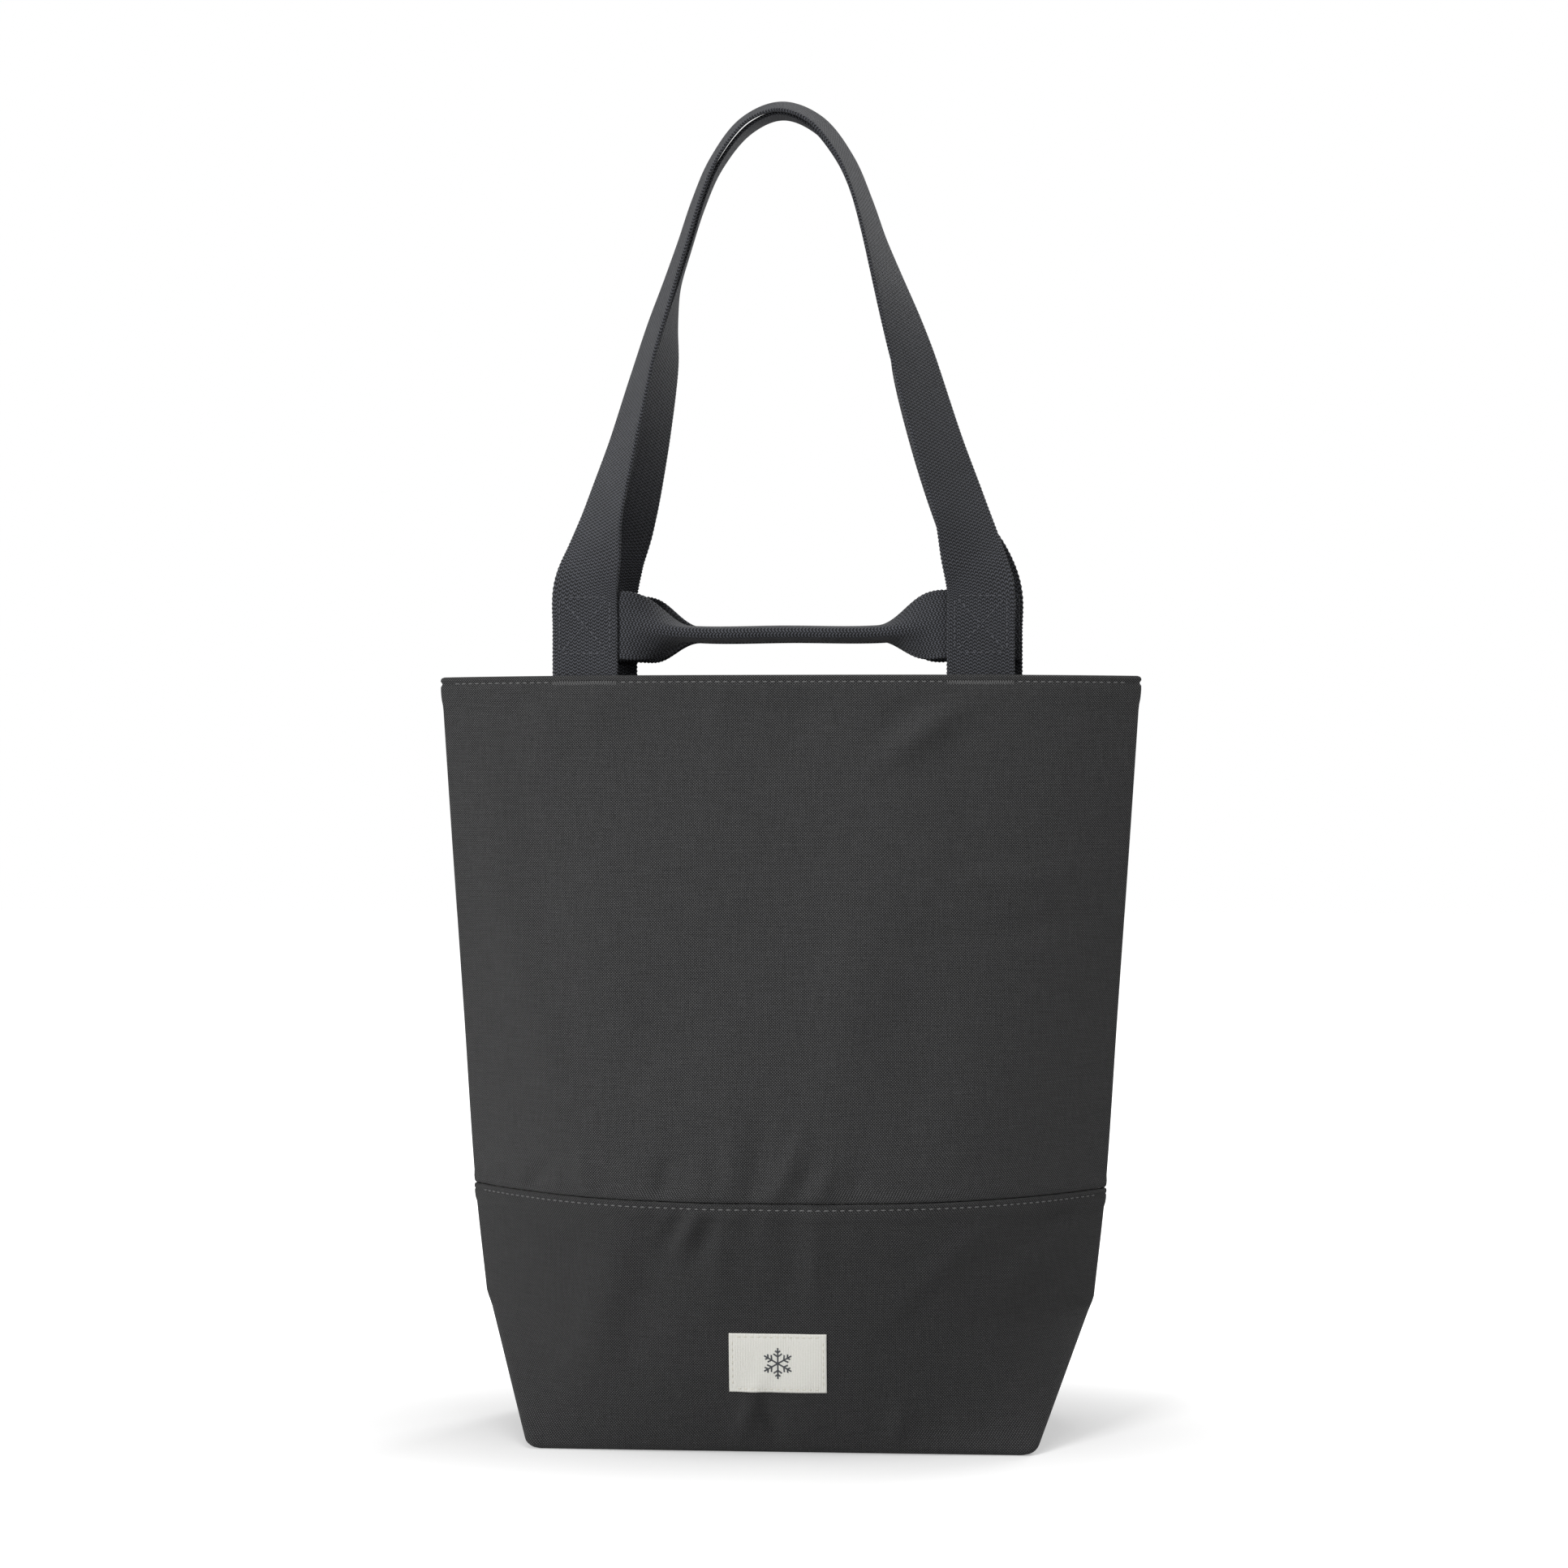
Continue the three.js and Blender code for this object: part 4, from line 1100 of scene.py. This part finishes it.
def run_places(line, pitch, outs):
    """Matrices for stitches at a pitch along a line of points; outs are the outward directions."""
    line = np.array(line)
    marks, (points, *normals) = even(line, *np.array(outs).T, spacing=pitch)
    along = np.gradient(points, axis=0)
    normals = np.stack(normals, axis=1)
    inner = zip(points[1:-1], along[1:-1], normals[1:-1])
    return [place_matrix(Vector(p), Vector(a), Vector(n)) for p, a, n in inner]


SEAM_STITCH = stitch_shape(2.8, 0.75, 0.3)
LABEL_STITCH = stitch_shape(2.1, 0.6, 0.2)
SEAM_PITCH = 3.7
LABEL_PITCH = 3.0


def cloth_run(end, level, points, lift=0.02):
    found = [on_cloth(end, level, x, height, lift) for x, height in points]
    return [p for p, _ in found], [n for _, n in found]


def straight(start, finish, count=60):
    start, finish = np.array(start), np.array(finish)
    return [tuple(start + (finish - start) * i / count) for i in range(count + 1)]


RIM_STITCH_HEIGHT = 352.6
SEAM_STITCH_HEIGHT = 112.3

for end, side in SIDES.items():
    places = []
    shift = STRAPS[end]["shift"]
    tacks = sorted(leg * LEG_SPACING + shift for leg in (-1, 1))
    stretches = [(-161, tacks[0] - 15), (tacks[0] + 15, tacks[1] - 15), (tacks[1] + 15, 161)]
    for left, right in stretches:
        line, outs = cloth_run(end, "upper", straight((left, RIM_STITCH_HEIGHT), (right, RIM_STITCH_HEIGHT)))
        places += run_places(line, SEAM_PITCH, outs)
    rim = repeat(f"{end}_rim_stitches", SEAM_STITCH, places, SEAM_THREAD)
    belongs(rim, "bag", "thread")
    line, outs = cloth_run(end, "lower", straight((-146, SEAM_STITCH_HEIGHT), (146, SEAM_STITCH_HEIGHT)))
    seam = repeat(f"{end}_seam_stitches", SEAM_STITCH, run_places(line, SEAM_PITCH, outs), SEAM_THREAD)
    belongs(seam, "bag", "thread")

TACK_THREAD = stitch_shape(2.5, 0.42, 0.1)
for end in SIDES:
    for name, leg in ENDS.items():
        middle = leg * LEG_SPACING + STRAPS[end]["shift"]
        places = []
        for i, x in enumerate(np.arange(middle - 15.2, middle + 15.3, 0.62)):
            point, out = on_cloth(end, "upper", x, 352.1, 0.18)
            lean = 0.16 if i % 2 else -0.16
            places.append(place_matrix(point, Vector((lean, 0, 1)), out))
        tack = repeat(f"{end}_bar_tack_{name}", TACK_THREAD, places, SEAM_THREAD)
        belongs(tack, "bag", "thread", f"bar_tack_{end}_{name}")

BOX_HALF_WIDTH = 12.3
BOX_HALF_HEIGHT = 13.2
WEB_STITCH = stitch_shape(2.4, 0.62, 0.3)


def leg_run(strap, leg, start, finish):
    """Line on the outer face of a strap leg, between two places (across, up) from the box's middle."""
    side = strap["side"]
    across = leg_across(side, leg)
    out = Vector(np.cross(across, [0, 0, 1]) * -side * leg).normalized()
    if out.y * side < 0:
        out = -out
    line = []
    for across_mm, up in straight(start, finish, 12):
        middle = leg_middle(strap, leg, HANDLE_HEIGHT + up)
        line.append(Vector(middle + across * across_mm) + out * (WEB_THICKNESS / 2 + 0.12))
    return line, [out] * len(line)


for end in SIDES:
    strap = STRAPS[end]
    w, h = BOX_HALF_WIDTH, BOX_HALF_HEIGHT
    corners = [(-w, -h), (w, -h), (w, h), (-w, h)]
    lines = [(corners[i], corners[(i + 1) % 4]) for i in range(4)]
    lines += [(corners[0], corners[2]), (corners[1], corners[3])]
    for name, leg in ENDS.items():
        places = []
        for start, finish in lines:
            line, outs = leg_run(strap, leg, start, finish)
            places += run_places(line, 3.2, outs)
        box_stitches = repeat(f"{end}_handle_stitches_{name}", WEB_STITCH, places, STRAP_THREAD)
        belongs(box_stitches, f"{end}_strap", "thread")

# ---------------------------------------------------------------- label

LABEL_HALF_WIDTH = 22.2
LABEL_BOTTOM = 29.4
LABEL_TOP = 56.6
STITCH_INSET = 1.6


def make_label():
    """A woven label, its edges turned under and pulled down a little along the stitching."""
    columns, rows_count = 72, 46
    rows, surface = [], []
    for height in np.linspace(LABEL_BOTTOM, LABEL_TOP, rows_count):
        row = []
        for x in np.linspace(-LABEL_HALF_WIDTH, LABEL_HALF_WIDTH, columns):
            edge = min(LABEL_HALF_WIDTH - abs(x), height - LABEL_BOTTOM, LABEL_TOP - height)
            pulled = 0.22 * math.exp(-((edge - STITCH_INSET) / 0.5) ** 2)
            round_edge = 0.3 * math.exp(-((edge / 0.35) ** 2))
            point, _ = on_cloth("front", "lower", x, height, 0.0)
            row.append([x, point.y - 0.85 + pulled + round_edge, height])
        rows.append(row)
        surface.append([(x, height) for x in np.linspace(-LABEL_HALF_WIDTH, LABEL_HALF_WIDTH, columns)])
    piece = loft("label_cloth", np.array(rows), np.array(surface), LABEL_CLOTH)
    thicken(piece, 0.5)
    return piece


label = belongs(make_label(), "bag", "label_cotton", "label")


def label_run(start, finish):
    line = []
    for x, height in straight(start, finish, 20):
        point, _ = on_cloth("front", "lower", x, height, 0.0)
        line.append(Vector((x, point.y - 0.68, height)))
    return line, [Vector((0, -1, 0))] * len(line)


def label_stitches():
    w = LABEL_HALF_WIDTH - STITCH_INSET
    low, high = LABEL_BOTTOM + STITCH_INSET, LABEL_TOP - STITCH_INSET
    corners = [(-w, low), (w, low), (w, high), (-w, high)]
    places = []
    for i in range(4):
        line, outs = label_run(corners[i], corners[(i + 1) % 4])
        places += run_places(line, LABEL_PITCH, outs)
    return repeat("label_stitches", LABEL_STITCH, places, LABEL_THREAD)


border = belongs(label_stitches(), "bag", "thread")


def snowflake():
    """A plain six-armed snowflake embroidered in the middle of the label, in short satin stitches."""
    centre_x, centre_z = 0.0, (LABEL_BOTTOM + LABEL_TOP) / 2
    arm = 7.0
    lines = []
    for k in range(6):
        angle = math.radians(60 * k + 30)
        direction = np.array([math.cos(angle), math.sin(angle)])
        lines.append((np.zeros(2), direction * arm))
        for spread in (-1, 1):
            turned = angle + spread * math.radians(55)
            branch = np.array([math.cos(turned), math.sin(turned)])
            for share, size in ((0.45, 2.2), (0.72, 1.6)):
                lines.append((direction * arm * share, direction * arm * share + branch * size))
    places = []
    for start, finish in lines:
        span = finish - start
        length = float(np.linalg.norm(span))
        direction = span / length
        for mark in np.arange(0.1, length, 0.3):
            x, z = start + direction * mark
            point, _ = on_cloth("front", "lower", centre_x + x, centre_z + z, 0.0)
            across = Vector((-direction[1], 0, direction[0]))
            lean = across + Vector((direction[0], 0, direction[1])) * 0.25
            spot = Vector((centre_x + x, point.y - 0.85, centre_z + z))
            places.append(place_matrix(spot, lean, Vector((0, -1, 0))))
    return repeat("label_snowflake", stitch_shape(1.0, 0.34, 0.1), places, MOTIF_THREAD)


motif = belongs(snowflake(), "bag", "thread")

# ---------------------------------------------------------------- zip


def softened_copy(node, name, width_mm, material, segments=2):
    """A finer copy of a CAD node: merged, with its edges rounded over."""
    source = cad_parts[node]
    piece = bpy.data.objects.new(name, source.data.copy())
    piece.data.name = name
    bpy.context.scene.collection.objects.link(piece)
    edit(
        piece,
        lambda: bpy.ops.mesh.remove_doubles(threshold=0.00001),
        lambda: bpy.ops.mesh.customdata_custom_splitnormals_clear(),
        lambda: bpy.ops.mesh.dissolve_limited(angle_limit=math.radians(2)),
    )
    soften = piece.modifiers.new("soft_edge", "BEVEL")
    soften.width = width_mm * MM
    soften.segments = segments
    soften.limit_method = "ANGLE"
    soften.angle_limit = math.radians(25)
    apply_modifiers(piece)
    layer = piece.data.uv_layers.get("surface") or piece.data.uv_layers.new(name="surface")
    for loop, spot in zip(piece.data.loops, layer.data):
        place = piece.data.vertices[loop.vertex_index].co / MM
        spot.uv = (place.x, place.y)
    dress(piece, material, smooth=False)
    active(piece)
    bpy.ops.object.shade_smooth_by_angle(angle=math.radians(35))
    return piece


for end, side in SIDES.items():
    body = f"{end}_flap"
    cloth = softened_copy(f"zip_flap_{end}", f"{end}_zip_flap_cloth", 0.35, FACING_CLOTH, 3)
    belongs(cloth, body, "facing_cloth", f"zip_flap_{end}")
    tape = softened_copy(f"zip_tape_{end}", f"{end}_zip_tape_weave", 0.2, ZIP_TAPE)
    belongs(tape, body, "zip_nylon", f"zip_tape_{end}")
    gusset = softened_copy(f"zip_gusset_{end}", f"{end}_gusset_cloth", 0.3, FACING_CLOTH)
    belongs(gusset, "bag", "facing_cloth", f"zip_gusset_{end}")
    line = [(x, side * 7.0, ZIP_HEIGHT + 1.5) for x in (-98, 98)]
    places = run_places(line, 3.0, [(0, 0, 1)] * 2)
    belongs(repeat(f"{end}_flap_stitches", LABEL_STITCH, places, STRAP_THREAD), body, "thread")

for name in ENDS:
    tape_end = softened_copy(f"zip_tape_end_{name}", f"zip_tape_end_weave_{name}", 0.2, ZIP_TAPE)
    belongs(tape_end, "bag", "zip_nylon", f"zip_tape_end_{name}")
    stop = softened_copy(f"zip_stop_{name}", f"zip_stop_moulding_{name}", 0.4, ZIP_COIL, 3)
    belongs(stop, "bag", "zip_nylon", f"zip_stop_{name}")
    bind = softened_copy(f"seam_binding_{name}", f"seam_binding_tape_{name}", 0.4, FACING_CLOTH)
    belongs(bind, "bag", "facing_cloth", f"seam_binding_{name}")


def tooth_shape():
    """One turn of the coil: a rounded bar across the tape with a fuller head towards the middle."""
    def shape(points):
        out = points.copy()
        head = 1 + 0.35 * np.clip(-points[:, 0], 0, 1)
        out[:, 0] = points[:, 0] * 1.3
        out[:, 1] = points[:, 1] * 0.42 * head
        out[:, 2] = points[:, 2] * 0.85 * head
        return out

    return template(
        lambda: bpy.ops.mesh.primitive_uv_sphere_add(segments=8, ring_count=6, radius=1), shape,
    )


TOOTH = tooth_shape()
for end, side in SIDES.items():
    places = []
    offset = 0 if side == FRONT else TOOTH_PITCH / 2
    for x in np.arange(-FLAP_HALF_LENGTH + 0.7 + offset, FLAP_HALF_LENGTH - 0.5, TOOTH_PITCH):
        spot = Vector((x, side * 1.6, ZIP_HEIGHT))
        places.append(place_matrix(spot, Vector((0.12, side, 0)), Vector((0, 0, 1))))
    coil = repeat(f"{end}_zip_coil_teeth", TOOTH, places, ZIP_COIL)
    belongs(coil, f"{end}_flap", "zip_nylon", f"zip_coil_{end}")

slider = softened_copy("zip_slider", "zip_slider_casting", 0.3, ZIP_METAL, 3)
belongs(slider, "slider", "zip_metal", "zip_slider")
puller = softened_copy("zip_puller", "zip_puller_plate", 0.22, ZIP_METAL, 3)
belongs(puller, "puller", "zip_metal", "zip_puller")

# ---------------------------------------------------------------- studio


AIR_LIGHT = 0.26


def make_studio():
    deselect()
    bpy.ops.mesh.primitive_plane_add(size=12, location=(0, 0, 0))
    floor = bpy.context.object
    floor.name = "studio_floor"
    dress(floor, floor_paint())
    floor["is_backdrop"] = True
    make_air()
    area_light("key_light", (-1150, -1900, 1250), (0, 0, 250), 800, 35)
    area_light("back_light", (1300, 1900, 1300), (0, 0, 250), 900, 26)
    area_light("top_light", (0, -300, 2200), (0, 0, 0), 1200, 15)


def make_air():
    """White surroundings: seen at full white, and lighting the bag more softly than that."""
    world = bpy.data.worlds.new("studio_air")
    world.use_nodes = True
    tree = world.node_tree
    seen = add(tree, "ShaderNodeLightPath", {}).outputs["Is Camera Ray"]
    strength = add(tree, "ShaderNodeMapRange", {"Value": seen, "To Min": AIR_LIGHT, "To Max": 1.0})
    background = tree.nodes["Background"]
    background.inputs["Color"].default_value = (1, 1, 1, 1)
    tree.links.new(strength.outputs[0], background.inputs["Strength"])
    bpy.context.scene.world = world


make_studio()

low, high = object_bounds()
